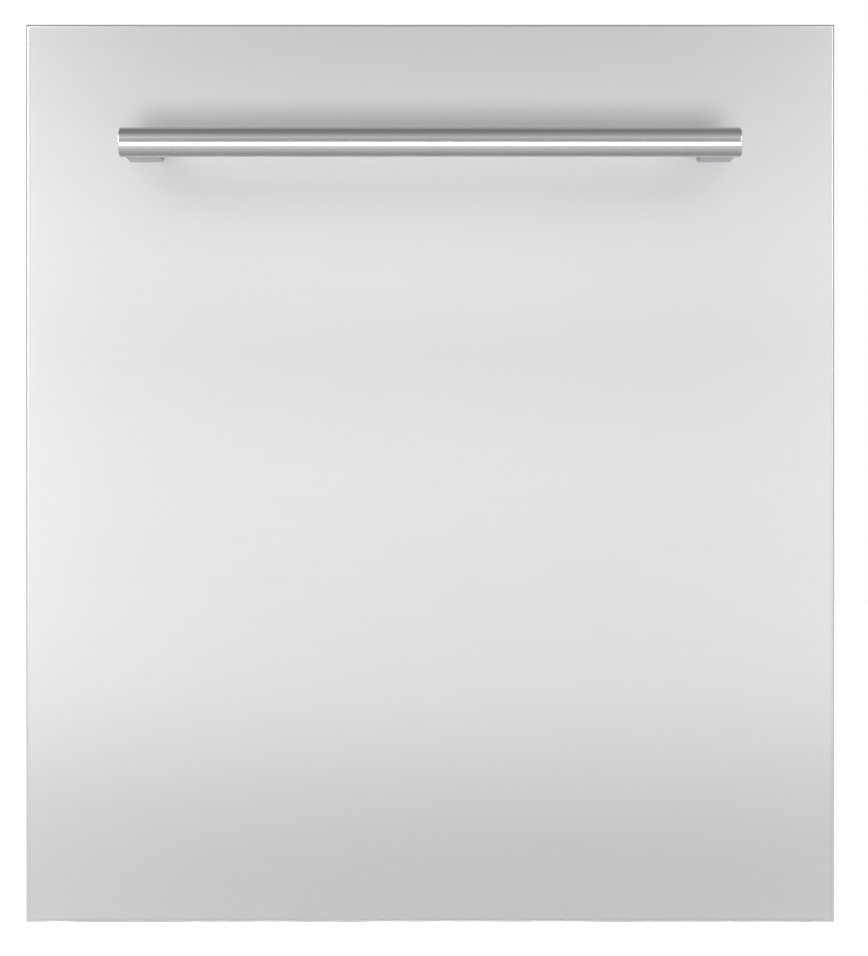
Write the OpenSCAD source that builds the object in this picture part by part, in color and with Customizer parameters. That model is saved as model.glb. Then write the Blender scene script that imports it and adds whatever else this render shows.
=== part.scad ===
// Built in dishwasher, 600 mm class, with a plain steel door and the controls on the door's top edge.
// Millimetres. X to the right seen from the front, Y to the back, Z up, floor at z = 0, door closed.

/* [Door] */
// width of the steel door panel
door_width = 598; // [592:1:600]
// height of the steel door panel
door_height = 664; // [640:1:700]
// outside bend radius of the panel edges
edge_radius = 2.5; // [1.8:0.1:4]
// thickness of the steel panel
panel_sheet = 1; // [0.8:0.1:1.6]

/* [Handle] */
// length of the round bar
handle_length = 445; // [300:5:520]
// diameter of the round bar
handle_diameter = 21; // [18:0.5:26]
// from the panel face to the bar axis
handle_standoff = 49.5; // [42:0.5:60]
// from the top of the panel down to the bar axis
handle_drop = 95.5; // [70:0.5:140]
// width of each handle post
post_width = 25; // [16:1:30]
// height of each handle post
post_height = 13; // [8:0.5:15]

/* [Body] */
// floor to the underside of the worktop
body_height = 820; // [815:1:850]
// outside width of the body behind the door
body_width = 590; // [586:1:592]
// inside width of the tub
tub_width = 544; // [540:1:546]
// inside depth of the tub
tub_depth = 475; // [460:1:480]
// height of the levelling feet below the base
foot_height = 30; // [26:1:36]

/* [Racks] */
// height of the lower basket floor above the room floor
lower_basket_floor = 242; // [240:1:246]
// height of the upper basket floor above the room floor
upper_basket_floor = 450; // [448:1:460]
// thickness of the basket wires
wire = 3.5; // [3:0.5:4.5]
// number of fixed rows of tines in the lower basket
tine_rows = 5; // [3:1:6]

/* [Hidden] */

// depths: the back of the body is half the overall depth behind the origin
back_y = 315;                 // tips of the water connections
panel_y = -255;               // front face of the door panel
bar_y = panel_y - handle_standoff;
liner_y = -195;               // inner face of the door
tub_y = -190;                 // front face of the tub flange
tub_back = tub_y + tub_depth; // inside face of the tub's back wall
rear_y = 302;                 // front face of the rear panel

// heights
door_top = body_height - 3;
door_bottom = door_top - door_height;
door_mid = (door_top + door_bottom) / 2;
bar_z = door_top - handle_drop;
bar_r = handle_diameter / 2;
post_x = handle_length / 2 - post_width / 2 - 0.5;
base_z = foot_height;
tub_floor = 190;
tub_roof = 790;
sheet = 1;                    // steel sheet of the tub
skin = 0.8;                   // zinc plated sheet of the sides, back and top
flange_top = body_height - 8;
ledge_z = 198;                // runway of the lower basket wheels

// door pivot and the pin that pulls the balance springs
pivot_y = -225;
pivot_z = 168;
spring_pin_y = pivot_y + 21;
spring_pin_z = pivot_z + 21;

// widths
half_tub = tub_width / 2;
half_body = body_width / 2;
liner_half = 284;
arm_x = 284.4;                // inner face of the hinge arms
bracket_x = 288;              // inner face of the hinge brackets

// water parts
sump_y = 45;
sump_r = 120;
filter_x = 62;
filter_y = -10;
filter_r = 33;
pump_y = 60;
pump_z = 85;

// control strip on the door's top edge
strip_z = 785;
strip_top = door_top - 1.5;
button_y = -218;

// rails of the upper basket
rail_z = 486;
wheel_r = 18;
wheel_z = ledge_z + wheel_r + 0.5;

steel = [0.80, 0.81, 0.83];
dark = [0.20, 0.21, 0.23];
grey = [0.55, 0.57, 0.60];
pale = [0.88, 0.89, 0.90];
blue = [0.40, 0.50, 0.62];
rubber = [0.12, 0.12, 0.13];

// a box given by its two corners
module box(a, b) {
  translate(a) cube([b[0] - a[0], b[1] - a[1], b[2] - a[2]]);
}

module both_sides() {
  children();
  mirror([1, 0, 0]) children();
}

module rod_x(x0, x1, y, z, r) {
  translate([x0, y, z]) rotate([0, 90, 0]) cylinder(h = x1 - x0, r = r, $fn = 48);
}

module rod_y(y0, y1, x, z, r) {
  translate([x, y0, z]) rotate([-90, 0, 0]) cylinder(h = y1 - y0, r = r, $fn = 48);
}

module rod_z(z0, z1, x, y, r) {
  translate([x, y, z0]) cylinder(h = z1 - z0, r = r, $fn = 48);
}

// rounded rectangle in the plane
module rounded(w, h, r) {
  square([w - 2 * r, h], center = true);
  square([w, h - 2 * r], center = true);
  for (x = [-1, 1], y = [-1, 1])
    translate([x * (w / 2 - r), y * (h / 2 - r)]) circle(r = r, $fn = 40);
}

// flat grid: a plate of bars, cols by rows openings
module grid(w, h, cols, rows, bar) {
  cw = (w - bar) / cols;
  ch = (h - bar) / rows;
  difference() {
    square([w, h]);
    for (i = [0 : cols - 1], j = [0 : rows - 1])
      translate([bar + i * cw, bar + j * ch]) square([cw - bar, ch - bar]);
  }
}

// comb of prongs standing on a bar
module comb(w, prongs, tall, bar) {
  square([w, bar]);
  for (i = [0 : prongs - 1])
    translate([i * (w - bar) / (prongs - 1), 0]) square([bar, tall]);
}

// plate lying flat, standing along X, or standing along Y
module flat_at(p, t) { translate(p) linear_extrude(t) children(); }
module along_x(p, t) { translate(p) rotate([90, 0, 0]) linear_extrude(t) children(); }
module along_y(p, t) { translate(p) rotate([90, 0, 90]) linear_extrude(t) children(); }

// ---------------------------------------------------------------- body

module base_tray() color(dark) {
  hw = 287.7;
  difference() {
    box([-hw, -184, base_z], [hw, 300, 150]);
    box([-hw + 3, -181, base_z + 3], [hw - 3, 297, 151]);
    // openings of the rear wall for water and power
    rod_y(296, 301, 200, 80, 20);
    rod_y(296, 301, -150, 75, 17);
    rod_y(296, 301, 110, 75, 12);
    for (x = [-255, 255], y = [-150, 250]) rod_z(base_z - 1, base_z + 4, x, y, 5.3);
  }
  // hollow pillars: the tub stands on them and the feet screw into them
  for (x = [-255, 255], y = [-150, 250]) difference() {
    rod_z(base_z + 1, ledge_z - sheet, x, y, 13);
    rod_z(base_z, 125, x, y, 5.3);
  }
  // posts that hold the back ends of the balance springs
  both_sides() box([278, 44, 146], [286, 50, 205]);
  both_sides() box([278, 44, 140], [hw - 1, 50, 148]);
}

module tub() color(steel) {
  difference() {
    union() {
      box([-half_tub - sheet, tub_y, tub_floor - sheet],
        [half_tub + sheet, tub_back + sheet, tub_roof + sheet]);
      box([-half_body, tub_y, 215], [half_body, tub_y + sheet, flange_top]);
      box([-liner_half, tub_y, pivot_z], [liner_half, tub_y + sheet, 216]);
    }
    difference() {
      box([-half_tub, tub_y - 1, tub_floor], [half_tub, tub_back, tub_roof]);
      // pressed runways for the lower basket wheels
      both_sides() box([240, tub_y - 2, tub_floor - 1], [half_tub + 1, tub_back + 1, ledge_z]);
    }
    both_sides() box([241.5, tub_y + sheet, tub_floor - 3],
      [half_tub - sheet, tub_back - 2, ledge_z - sheet]);
    rod_z(tub_floor - 3, tub_floor + 3, 0, sump_y, sump_r + 1);
    rod_z(tub_floor - 3, tub_floor + 3, -205, -140, 5.4);
    box([-20, 270.5, tub_floor - 3], [20, tub_back - 1, tub_floor + 3]);
    for (x = [-20, 20]) rod_z(tub_floor - 3, tub_floor + 3, x, -154, 4.4);
  }
  // guide collar of the float
  difference() {
    rod_z(tub_floor - 0.2, 193.5, -205, -140, 10);
    rod_z(tub_floor - 3, 195, -205, -140, 5.4);
  }
}

module sump() color(dark) {
  difference() {
    union() {
      rod_z(112, 190.5, 0, sump_y, sump_r);
      rod_z(184, tub_floor - sheet, 0, sump_y, sump_r + 8);
    }
    difference() {
      rod_z(115, 192, 0, sump_y, sump_r - 3);
      rod_z(114, 193, 0, sump_y, 13);
    }
    rod_z(118, 193, 0, sump_y, 9.5);
    rod_z(111, 116, 60, pump_y, 12);
    rod_z(111, 116, -90, pump_y, 9);
  }
  difference() {
    rod_z(190, 203, 0, sump_y, 13);
    rod_z(118, 204, 0, sump_y, 9.5);
  }
}

module filter_plate() color(steel) {
  difference() {
    rod_z(190.5, 192, 0, sump_y, sump_r);
    rod_z(190, 193, 0, sump_y, 13.4);
    rod_z(190, 193, filter_x, filter_y, filter_r + 0.5);
    // slots of the coarse mesh
    for (i = [-4 : 4]) box([-95, sump_y + i * 7 - 1, 190], [-25, sump_y + i * 7 + 1, 193]);
    for (i = [-4 : 4]) box([25, sump_y + 45 + i * 6 - 1, 190], [75, sump_y + 45 + i * 6 + 1, 193]);
  }
}

module filter_cylinder() color(grey) {
  difference() {
    union() {
      rod_z(140, 194, filter_x, filter_y, filter_r);
      rod_z(192.2, 194, filter_x, filter_y, filter_r + 3);
    }
    rod_z(143, 195, filter_x, filter_y, filter_r - 2);
    for (a = [0 : 45 : 135]) translate([filter_x, filter_y, 152]) rotate([0, 0, a])
      translate([-filter_r - 2, -3, 0]) cube([2 * filter_r + 4, 6, 32]);
  }
  // cross bar that is gripped to twist the filter out
  box([filter_x - filter_r + 0.5, filter_y - 4, 186], [filter_x + filter_r - 0.5, filter_y + 4, 193.9]);
  rod_z(193, 204, filter_x, filter_y, 10);
  box([filter_x - 24, filter_y - 4, 193.5], [filter_x + 24, filter_y + 4, 202]);
}

module circulation_pump() color(dark) {
  difference() {
    union() {
      rod_x(130, 162, pump_y, pump_z, 46);
      rod_x(160, 256, pump_y, pump_z, 41);
      rod_x(46, 132, pump_y, pump_z, 14);
      rod_z(72, 112, 60, pump_y, 14);
      rod_z(pump_z, 160, 146, 90, 11);
      rod_x(115, 157, 90, 150, 9);
      box([175, pump_y - 30, base_z + 3], [195, pump_y + 30, pump_z]);
      box([225, pump_y - 30, base_z + 3], [245, pump_y + 30, pump_z]);
    }
    rod_x(133, 158, pump_y, pump_z, 42);
    rod_x(162, 253, pump_y, pump_z, 37);
    rod_x(157, 163, pump_y, pump_z, 4.4);
    rod_x(50, 134, pump_y, pump_z, 11);
    rod_z(pump_z, 113, 60, pump_y, 11);
  }
}

module pump_rotor() color(steel) {
  rod_x(120, 250, pump_y, pump_z, 4);
  rod_x(136, 139, pump_y, pump_z, 34);
  rod_x(172, 232, pump_y, pump_z, 22);
  for (a = [0 : 60 : 300]) translate([138, pump_y, pump_z]) rotate([a, 0, 0])
    translate([0, 6, -1.2]) cube([14, 27, 2.4]);
}

module drain_pump() color(grey) {
  difference() {
    union() {
      rod_x(-140, -118, pump_y, 75, 30);
      rod_x(-205, -139, pump_y, 75, 26);
      rod_x(-119, -79, pump_y, 75, 11);
      rod_z(64, 112, -90, pump_y, 11);
      box([-190, pump_y - 18, base_z + 3], [-160, pump_y + 18, 60]);
    }
    rod_x(-137, -121, pump_y, 75, 26);
    rod_x(-122, -82, pump_y, 75, 8);
    rod_z(75, 113, -90, pump_y, 8);
  }
  // discharge pipe to the spigot behind the machine
  difference() {
    union() {
      rod_y(pump_y + 22, back_y, -150, 75, 8);
      rod_y(290, back_y, -150, 75, 10.5);
      box([-160, pump_y + 18, 66], [-128, pump_y + 30, 84]);
    }
    rod_y(pump_y + 32, back_y + 1, -150, 75, 6);
  }
}

module inlet_valve() color(pale) {
  box([178, 255, 55], [222, 295, 105]);
  difference() {
    rod_y(290, back_y, 200, 80, 13.2);
    rod_y(296, back_y + 1, 200, 80, 9);
  }
  rod_z(100, 166, 200, 272, 6);
  rod_y(106, 278, 200, 160, 6);
  rod_x(104.5, 206, 112, 160, 6);
  box([185, 235, 70], [215, 256, 98]);
}

module riser_tube() color(grey) {
  difference() {
    union() {
      rod_y(165.3, 274, 0, 150, 9);
      box([-17, 271, 140], [17, 283, 788]);
      box([-12, 30, 774], [12, 283, 788]);
      rod_z(762, 775, 0, sump_y, 8);
    }
    box([-14, 273, 143], [14, 281, 785]);
    box([-9, 40, 777], [9, 275, 785]);
    rod_z(761, 779, 0, sump_y, 5);
    // port that the upper basket's pipe docks against
    rod_y(268, 275, 0, 441, 6);
  }
}

module heater() color(steel) {
  difference() {
    translate([0, sump_y, 199]) rotate_extrude($fn = 96) translate([199, 0]) circle(r = 4, $fn = 24);
    box([-17, -165, 190], [17, -145, 208]);
  }
  for (x = [-20, 20]) {
    rod_z(172, 201, x, -154, 4);
    rod_z(176, tub_floor - sheet, x, -154, 8);
  }
}

module side_panels() color(grey) {
  both_sides() {
    box([half_body - skin, tub_y + sheet, 60], [half_body, rear_y, flange_top]);
    box([287.7, -150, 60], [half_body - 0.5, rear_y, 60 + skin]);
    box([half_body - 12, tub_y + sheet, flange_top - skin], [half_body - 0.5, rear_y, flange_top]);
  }
}

module rear_panel() color(grey) {
  difference() {
    union() {
      box([-half_body, rear_y, 50], [half_body, rear_y + skin, flange_top]);
      box([-180, rear_y, 250], [180, rear_y + 3.5, 255]);
      box([-180, rear_y, 650], [180, rear_y + 3.5, 655]);
    }
    rod_y(rear_y - 1, rear_y + 5, 200, 80, 20);
    rod_y(rear_y - 1, rear_y + 5, -150, 75, 17);
    rod_y(rear_y - 1, rear_y + 5, 110, 75, 12);
  }
}

module top_cover() color(grey) {
  difference() {
    box([-half_body - 0.8, tub_y + sheet, 796], [half_body + 0.8, rear_y + 1.6, flange_top + 1]);
    box([-half_body, tub_y, 795], [half_body, rear_y + skin, flange_top]);
  }
  for (x = [-180, 0, 180]) box([x - 8, -120, flange_top + 0.9], [x + 8, 250, flange_top + 3]);
}

module counter_brackets() color(steel) {
  both_sides() difference() {
    union() {
      box([190, -186, flange_top + 1], [230, -130, flange_top + 2.5]);
      box([190, -186, flange_top + 1], [230, -184.5, body_height]);
      box([190, -186, body_height - 1.5], [230, -160, body_height]);
    }
    for (x = [200, 220]) rod_z(body_height - 3, body_height + 1, x, -172, 2.25);
  }
}

module door_gasket() color(rubber) {
  t = 0.3;
  front = liner_y + t;
  difference() {
    box([-half_tub - 11, front, tub_floor], [half_tub + 11, tub_y, 799]);
    box([-half_tub - 2, front - 1, tub_floor - 1], [half_tub + 2, tub_y + 1, 791.5]);
  }
}

module bottom_seal() color(rubber) {
  box([-half_tub, liner_y + 0.4, 172], [half_tub, tub_y, 178]);
  box([-half_tub, -192.5, 171], [half_tub, tub_y, 184]);
}

module kick_plate() color(pale) {
  box([-293, -187.4, 32], [293, -186.2, 140]);
  box([-293, -187.4, 32], [293, -184, 33.2]);
  box([-293, -187.4, 138.8], [293, -184, 140]);
  both_sides() box([291.8, -187.4, 32], [293, -184, 140]);
}

module junction_box() color(grey) {
  difference() {
    box([150, -165, base_z + 3], [235, -100, 88]);
    box([153, -162, base_z + 6], [232, -103, 86]);
    rod_y(-104, -99, 192, 62, 11.1);
  }
  box([148, -167, 88], [237, -98, 91]);
}

module latch_strike() color(steel) {
  box([-16, tub_y - 1.5, 801], [16, tub_y, 810]);
  box([-8, -207, 802.5], [8, tub_y, 805.5]);
  box([-9.5, -207, 802.5], [9.5, -204, 805.5]);
}

module hinge_brackets() color(steel) {
  both_sides() {
    rod_x(bracket_x, bracket_x + 3, pivot_y, pivot_z, 12);
    box([bracket_x, pivot_y, pivot_z - 8], [bracket_x + 3, -150, pivot_z + 8]);
    box([bracket_x, -178, 110], [bracket_x + 3, -110, pivot_z + 8]);
    box([287.7, -170, 112], [bracket_x + 1, -118, 146]);
    // pivot pin and its head
    rod_x(arm_x + 0.2, bracket_x + 1, pivot_y, pivot_z, 5);
    rod_x(bracket_x + 2, bracket_x + 5, pivot_y, pivot_z, 7);
  }
}

module door_springs() color(steel) {
  // closely wound extension springs, drawn as sleeves with hooks at both ends
  both_sides() {
    difference() {
      rod_y(-98, 34, 282, 196, 7);
      rod_y(-97, 33, 282, 196, 5.2);
    }
    box([280.8, -113, 194.5], [283.2, -96, 197.5]);
    box([280.8, 32, 194.5], [283.2, 43.9, 197.5]);
  }
}

module spring_links() color(grey) {
  both_sides() {
    difference() {
      box([bracket_x, spring_pin_y - 11, 180], [bracket_x + 2, spring_pin_y + 11, 210]);
      // upright slot: the arm's pin rises and falls in it as the door turns
      box([bracket_x - 1, spring_pin_y - 5.6, 183.5], [bracket_x + 3, spring_pin_y + 5.6, 203.5]);
    }
    box([bracket_x, spring_pin_y + 10, 191], [bracket_x + 2, -114, 201]);
    box([278, -118, 191], [bracket_x + 1, -113.1, 201]);
  }
}

module upper_rails() color(steel) {
  both_sides() difference() {
    box([half_tub - 8, -185, rail_z - 14], [half_tub, 225, rail_z + 14]);
    box([half_tub - 9, -186, rail_z - 12], [half_tub - 2, 223, rail_z + 12]);
    box([half_tub - 9, -186, rail_z - 9], [half_tub - 5, 226, rail_z + 9]);
  }
}

module upper_rail_slides() color(steel) {
  x = half_tub;
  both_sides() difference() {
    box([x - 12, -183, rail_z - 11.7], [x - 2.3, 215, rail_z + 11.7]);
    box([x - 13, -184, rail_z - 9.5], [x - 4.3, 213, rail_z + 9.5]);
  }
}

module cutlery_rails() color(steel) {
  both_sides() difference() {
    box([half_tub - 7, -182, 708], [half_tub, 235, 724]);
    box([half_tub - 8, -183, 710], [half_tub - 2, 233, 722]);
  }
}

module foot(x, y) color(dark) {
  rod_z(0, 8, x, y, 20);
  rod_z(7, 14, x, y, 11);
  rod_z(8, 110, x, y, 5);
}
module foot_front_left() foot(-255, -150);
module foot_front_right() foot(255, -150);
module foot_rear_left() foot(-255, 250);
module foot_rear_right() foot(255, 250);

module water_float() color(pale) {
  difference() {
    rod_z(194, 220, -205, -140, 18);
    rod_z(193, 218, -205, -140, 16);
  }
  rod_z(172, 219, -205, -140, 5);
  rod_z(172, 175, -205, -140, 8);
}

// hollow arm with a hub in its middle and a row of nozzles on each blade
module spray_arm(z, r, hub) difference() {
  union() {
    translate([0, sump_y, z]) linear_extrude(12) rounded(2 * r, 38, 14);
    rod_z(z - 8, z + 14, 0, sump_y, hub);
  }
  difference() {
    translate([0, sump_y, z + 1.5]) linear_extrude(9) rounded(2 * r - 4, 34, 12);
    rod_z(z, z + 12, 0, sump_y, hub);
  }
  for (s = [-1, 1], i = [0 : 4])
    rod_z(z + 8, z + 13, s * (r - 22 - i * (r > 160 ? 34 : 22)), sump_y + s * 6, 2);
}

// each arm's socket turns on the spout that feeds it
module lower_spray_arm() color(grey) difference() {
  spray_arm(206, 222, 19);
  rod_z(190, 217, 0, sump_y, 13.4);
}
module top_spray_arm() color(grey) difference() {
  translate([0, 0, 2 * 758]) mirror([0, 0, 1]) spray_arm(752, 150, 13);
  rod_z(753, 780, 0, sump_y, 8.4);
}

// ---------------------------------------------------------------- door

// plan outline with both front corners rounded, depth measured back from the front face
module front_rounded(w, d, r) {
  translate([-w / 2 + r, 0]) square([w - 2 * r, d]);
  translate([-w / 2, r]) square([w, d - r]);
  for (s = [-1, 1]) translate([s * (w / 2 - r), r]) circle(r = r, $fn = 40);
}

// block whose four front edges are rounded
module soft_front(w, h, d, r, y) {
  intersection() {
    translate([0, y, door_mid - h / 2]) linear_extrude(h) front_rounded(w, d, r);
    translate([-w / 2, y, door_mid]) rotate([90, 0, 90]) linear_extrude(w)
      rotate(-90) front_rounded(h, d, r);
  }
}

module outer_panel() color(steel) {
  t = panel_sheet;
  difference() {
    soft_front(door_width, door_height, 20, edge_radius, panel_y);
    soft_front(door_width - 2 * t, door_height - 2 * t, 21, edge_radius - t, panel_y + t);
    for (x = [-post_x, post_x]) rod_y(panel_y - 1, panel_y + 3, x, bar_z, 2.75);
  }
}

module handle_bar() color(steel) {
  flat = sqrt(bar_r * bar_r - pow(post_height / 2 + 0.2, 2));
  translate([0, bar_y, bar_z]) difference() {
    rotate([0, 90, 0]) rotate_extrude($fn = 64) intersection() {
      rounded(handle_diameter, handle_length, 1.8);
      translate([0, -handle_length]) square([bar_r + 1, 2 * handle_length]);
    }
    rotate([0, 90, 0]) cylinder(h = handle_length - 8, r = bar_r - 3, center = true, $fn = 48);
    // flats that the posts seat on
    for (x = [-post_x, post_x])
      translate([x - post_width / 2 - 0.1, flat, -bar_r]) cube([post_width + 0.2, bar_r, 2 * bar_r]);
  }
}

module handle_posts() color(steel) {
  flat = sqrt(bar_r * bar_r - pow(post_height / 2 + 0.2, 2));
  for (x = [-post_x, post_x]) difference() {
    box([x - post_width / 2, bar_y + flat, bar_z - post_height / 2],
      [x + post_width / 2, panel_y - 0.02, bar_z + post_height / 2]);
    rod_y(bar_y, panel_y + 1, x, bar_z, 2.6);
  }
}

module handle_screws() color(steel) {
  for (x = [-post_x, post_x]) {
    rod_y(bar_y + bar_r - 1.2, panel_y + 2, x, bar_z, 2.5);
    rod_y(panel_y + panel_sheet, panel_y + 5, x, bar_z, 5);
  }
}

module door_damping_sheet() color(dark)
  box([-270, panel_y + panel_sheet + 0.1, 190], [270, panel_y + panel_sheet + 3.1, bar_z - 15]);

module door_liner() color(steel) {
  difference() {
    union() {
      box([-liner_half, panel_y + 20, 170], [liner_half, liner_y, flange_top]);
      box([-door_width / 2 + 1.4, panel_y + 20, 190], [door_width / 2 - 1.4, panel_y + 21, strip_z - 1]);
      box([-282, panel_y + 20, door_bottom + 1.4], [282, panel_y + 21, 171]);
    }
    box([-liner_half + 1, panel_y + 19, 171], [liner_half - 1, liner_y - 1, flange_top - 1]);
    box([-liner_half - 1, panel_y + 18, strip_z - 1], [liner_half + 1, liner_y - 1, flange_top + 1]);
    // mouth of the dispenser and slot of the latch
    box([-118.4, -200, 416.6], [33.4, -190, 573.4]);
    box([-12, -200, 798.5], [12, -190, 809.5]);
  }
}

module control_panel() color(dark) {
  y0 = panel_y + 20.4;
  y1 = liner_y - 1.3;
  difference() {
    box([-296.5, y0, strip_z], [296.5, y1, strip_top]);
    box([-294, y0 + 2.2, strip_z - 1], [294, y1 - 2.2, strip_top - 3]);
    box([-12, y1 - 3, 798.5], [12, y1 + 1, 809.5]);
    for (x = [-255, 255]) rod_z(strip_top - 5, strip_top + 1, x, button_y, 8);
    for (x = [-170, -130]) translate([x, button_y, strip_top - 5]) linear_extrude(6) rounded(26, 11, 3);
    box([-82, button_y - 8, strip_top - 1.6], [12, button_y + 8, strip_top + 1]);
    box([-78, button_y - 6, strip_top - 5], [8, button_y + 6, strip_top + 1]);
  }
  // bosses that the circuit board hangs from
  for (x = [-281, -210, 40, 281]) rod_z(795.6, strip_top - 2.5, x, button_y, 3.5);
}

module control_board() color([0.10, 0.35, 0.22]) {
  box([-290, -231, 794], [290, -212, 795.6]);
  for (x = [-255, -170, -130, 255]) box([x - 3, button_y - 3, 795.4], [x + 3, button_y + 3, 798.8]);
  box([-76, button_y - 5, 795.4], [6, button_y + 5, 809]);
  box([60, -229, 795.4], [110, -215, 803]);
}

module display_window() color([0.05, 0.06, 0.08])
  box([-81.7, button_y - 7.7, strip_top - 1.6], [11.7, button_y + 7.7, strip_top]);

module round_button(x) color(steel) {
  rod_z(strip_top - 2.8, strip_top + 0.8, x, button_y, 7.6);
  rod_z(strip_top - 5.5, strip_top - 3.3, x, button_y, 9.5);
  rod_z(799.7, strip_top - 2, x, button_y, 3);
}
module power_button() round_button(-255);
module start_button() round_button(255);

module long_button(x) color(pale) {
  translate([x, button_y, strip_top - 3.5]) linear_extrude(4.3) rounded(25.2, 10.2, 2.6);
  box([x - 14, button_y - 6.5, strip_top - 5.5], [x + 14, button_y + 6.5, strip_top - 3.3]);
  rod_z(799.7, strip_top - 5, x, button_y, 3);
}
module program_button() long_button(-170);
module option_button() long_button(-130);

module hinge_arms() color(grey) {
  both_sides() {
    difference() {
      union() {
        rod_x(arm_x, arm_x + 3, pivot_y, pivot_z, 12);
        box([arm_x, -233.5, pivot_z], [arm_x + 3, -210, 420]);
        rod_x(arm_x, arm_x + 3, spring_pin_y, spring_pin_z, 8);
        box([arm_x, -220, 180], [arm_x + 3, spring_pin_y, spring_pin_z + 7]);
      }
      rod_x(arm_x - 1, arm_x + 4, pivot_y, pivot_z, 5.08);
    }
    rod_x(arm_x + 1, bracket_x + 3, spring_pin_y, spring_pin_z, 4);
  }
}

module door_latch() color(dark) {
  y1 = liner_y - 3.6;
  difference() {
    box([-24, -211.4, 797], [24, y1, 811.8]);
    box([-12, -210, 799.5], [12, y1 + 1, 808.5]);
  }
}

module dispenser_body() color(grey) {
  difference() {
    union() {
      box([-125, liner_y, 410], [40, liner_y + 3, 580]);
      box([-118, -220, 417], [33, liner_y, 573]);
    }
    // track of the sliding lid, and the cup behind it
    box([-110, liner_y + 0.4, 425], [-30, liner_y + 4, 565]);
    box([-104, -214, 432], [-36, liner_y + 4, 498]);
    rod_y(-212, liner_y + 4, 5, 470, 17);
  }
}

module dispenser_lid() color(pale) {
  box([-109.6, liner_y + 0.6, 427], [-30.4, liner_y + 2.4, 503]);
  box([-90, liner_y + 2.2, 432], [-50, liner_y + 4.4, 437]);
}

module rinse_aid_cap() color(blue) {
  rod_y(-211, liner_y + 2.6, 5, 470, 16.6);
  box([-7, liner_y + 2, 467.5], [17, liner_y + 5.5, 472.5]);
}

// ---------------------------------------------------------------- baskets

module lower_basket() color(blue) {
  w = 480;
  y0 = -143;
  y1 = 266;
  z0 = lower_basket_floor;
  top = 398;
  flat_at([-w / 2, y0, z0], wire) grid(w, y1 - y0, 12, 9, wire);
  // front wall leans out of a lifted lower edge, so that it clears the opening door
  along_x([-w / 2, y0 - 16, z0 + 24], wire) grid(w, top - z0 - 44, 12, 2, wire);
  translate([-w / 2, y0 - 0.2, z0 + 2]) rotate([122, 0, 0]) linear_extrude(wire) grid(w, 22, 12, 1, wire);
  along_x([-w / 2, y1 + wire + 0.1, z0], wire) grid(w, top - z0, 12, 3, wire);
  for (x = [-w / 2 - wire - 0.1, w / 2 + 0.1])
    along_y([x, y0 - 15.8, z0 + 0.1], wire) difference() {
      grid(y1 - y0 + 16, top - z0, 9, 3, wire);
      polygon([[-1, -1], [17, -1], [-1, 26]]);
    }
  // fixed tines on the left half
  for (i = [0 : tine_rows - 1])
    along_x([-w / 2 + 20, -95 + i * 78, z0 + wire + 0.1], wire) comb(200, 9, 72, wire);
  // axle stubs and their holders
  for (y = [-25, 225]) both_sides() {
    box([w / 2 + wire + 0.2, y - 10, wheel_z - 9], [w / 2 + wire + 4.2, y + 10, z0 + 40]);
    rod_x(w / 2 + wire + 4, w / 2 + wire + 21, y, wheel_z, 4);
  }
}

module basket_wheels(y) color(pale) {
  both_sides() difference() {
    rod_x(250, 262, y, wheel_z, wheel_r);
    rod_x(249, 263, y, wheel_z, 4.08);
    rod_x(259, 263, y, wheel_z, 13);
  }
}
module front_wheels() basket_wheels(-25);
module rear_wheels() basket_wheels(225);

module folding_tines() color(blue) {
  z = lower_basket_floor + wire + 4;
  along_x([20, wire / 2, z - wire / 2], wire) comb(200, 9, 76, wire);
  rod_x(14, 226, 0, z, 2);
}

module upper_basket() color(blue) {
  w = 488;
  y0 = -171;
  y1 = 262;
  z0 = upper_basket_floor;
  top = 588;
  flat_at([-w / 2, y0, z0], wire) grid(w, y1 - y0, 12, 10, wire);
  along_x([-w / 2, y0 - 0.1, z0], wire) grid(w, top - z0, 12, 3, wire);
  along_x([-w / 2, y1 + wire + 0.1, z0], wire) grid(w, top - z0, 12, 3, wire);
  for (x = [-w / 2 - wire - 0.1, w / 2 + 0.1])
    along_y([x, y0, z0], wire) grid(y1 - y0, top - z0, 10, 3, wire);
  for (x = [-140, -60, 60, 140])
    along_y([x, y0 + 40, z0 + wire + 0.1], wire) comb(360, 11, 52, wire);
  // runners that ride in the telescopic rails
  both_sides() {
    box([w / 2 + wire + 0.2, -181, rail_z - 12], [w / 2 + wire + 3.2, 210, rail_z + 12]);
    difference() {
      box([w / 2 + wire + 3, -181, rail_z - 9.2], [half_tub - 4.6, 210, rail_z + 9.2]);
      box([w / 2 + wire + 3.2, -182, rail_z - 7.2], [half_tub - 6.6, 211, rail_z + 7.2]);
    }
  }
  // pipe that feeds the upper spray arm
  difference() {
    union() {
      box([-11, 30, 435], [11, 268, z0 - 0.2]);
      rod_z(420, 436, 0, sump_y, 9);
    }
    rod_y(50, 269, 0, 441, 5);
  }
}

module upper_spray_arm() color(grey) difference() {
  spray_arm(415, 205, 14);
  rod_z(419, 440, 0, sump_y, 9.4);
}

module cup_shelf() color(blue) {
  z = upper_basket_floor + 95;
  flat_at([-240, -120, z - wire / 2], wire) grid(94, 260, 3, 8, wire);
  rod_y(-126, 146, -240, z, 2);
}

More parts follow.
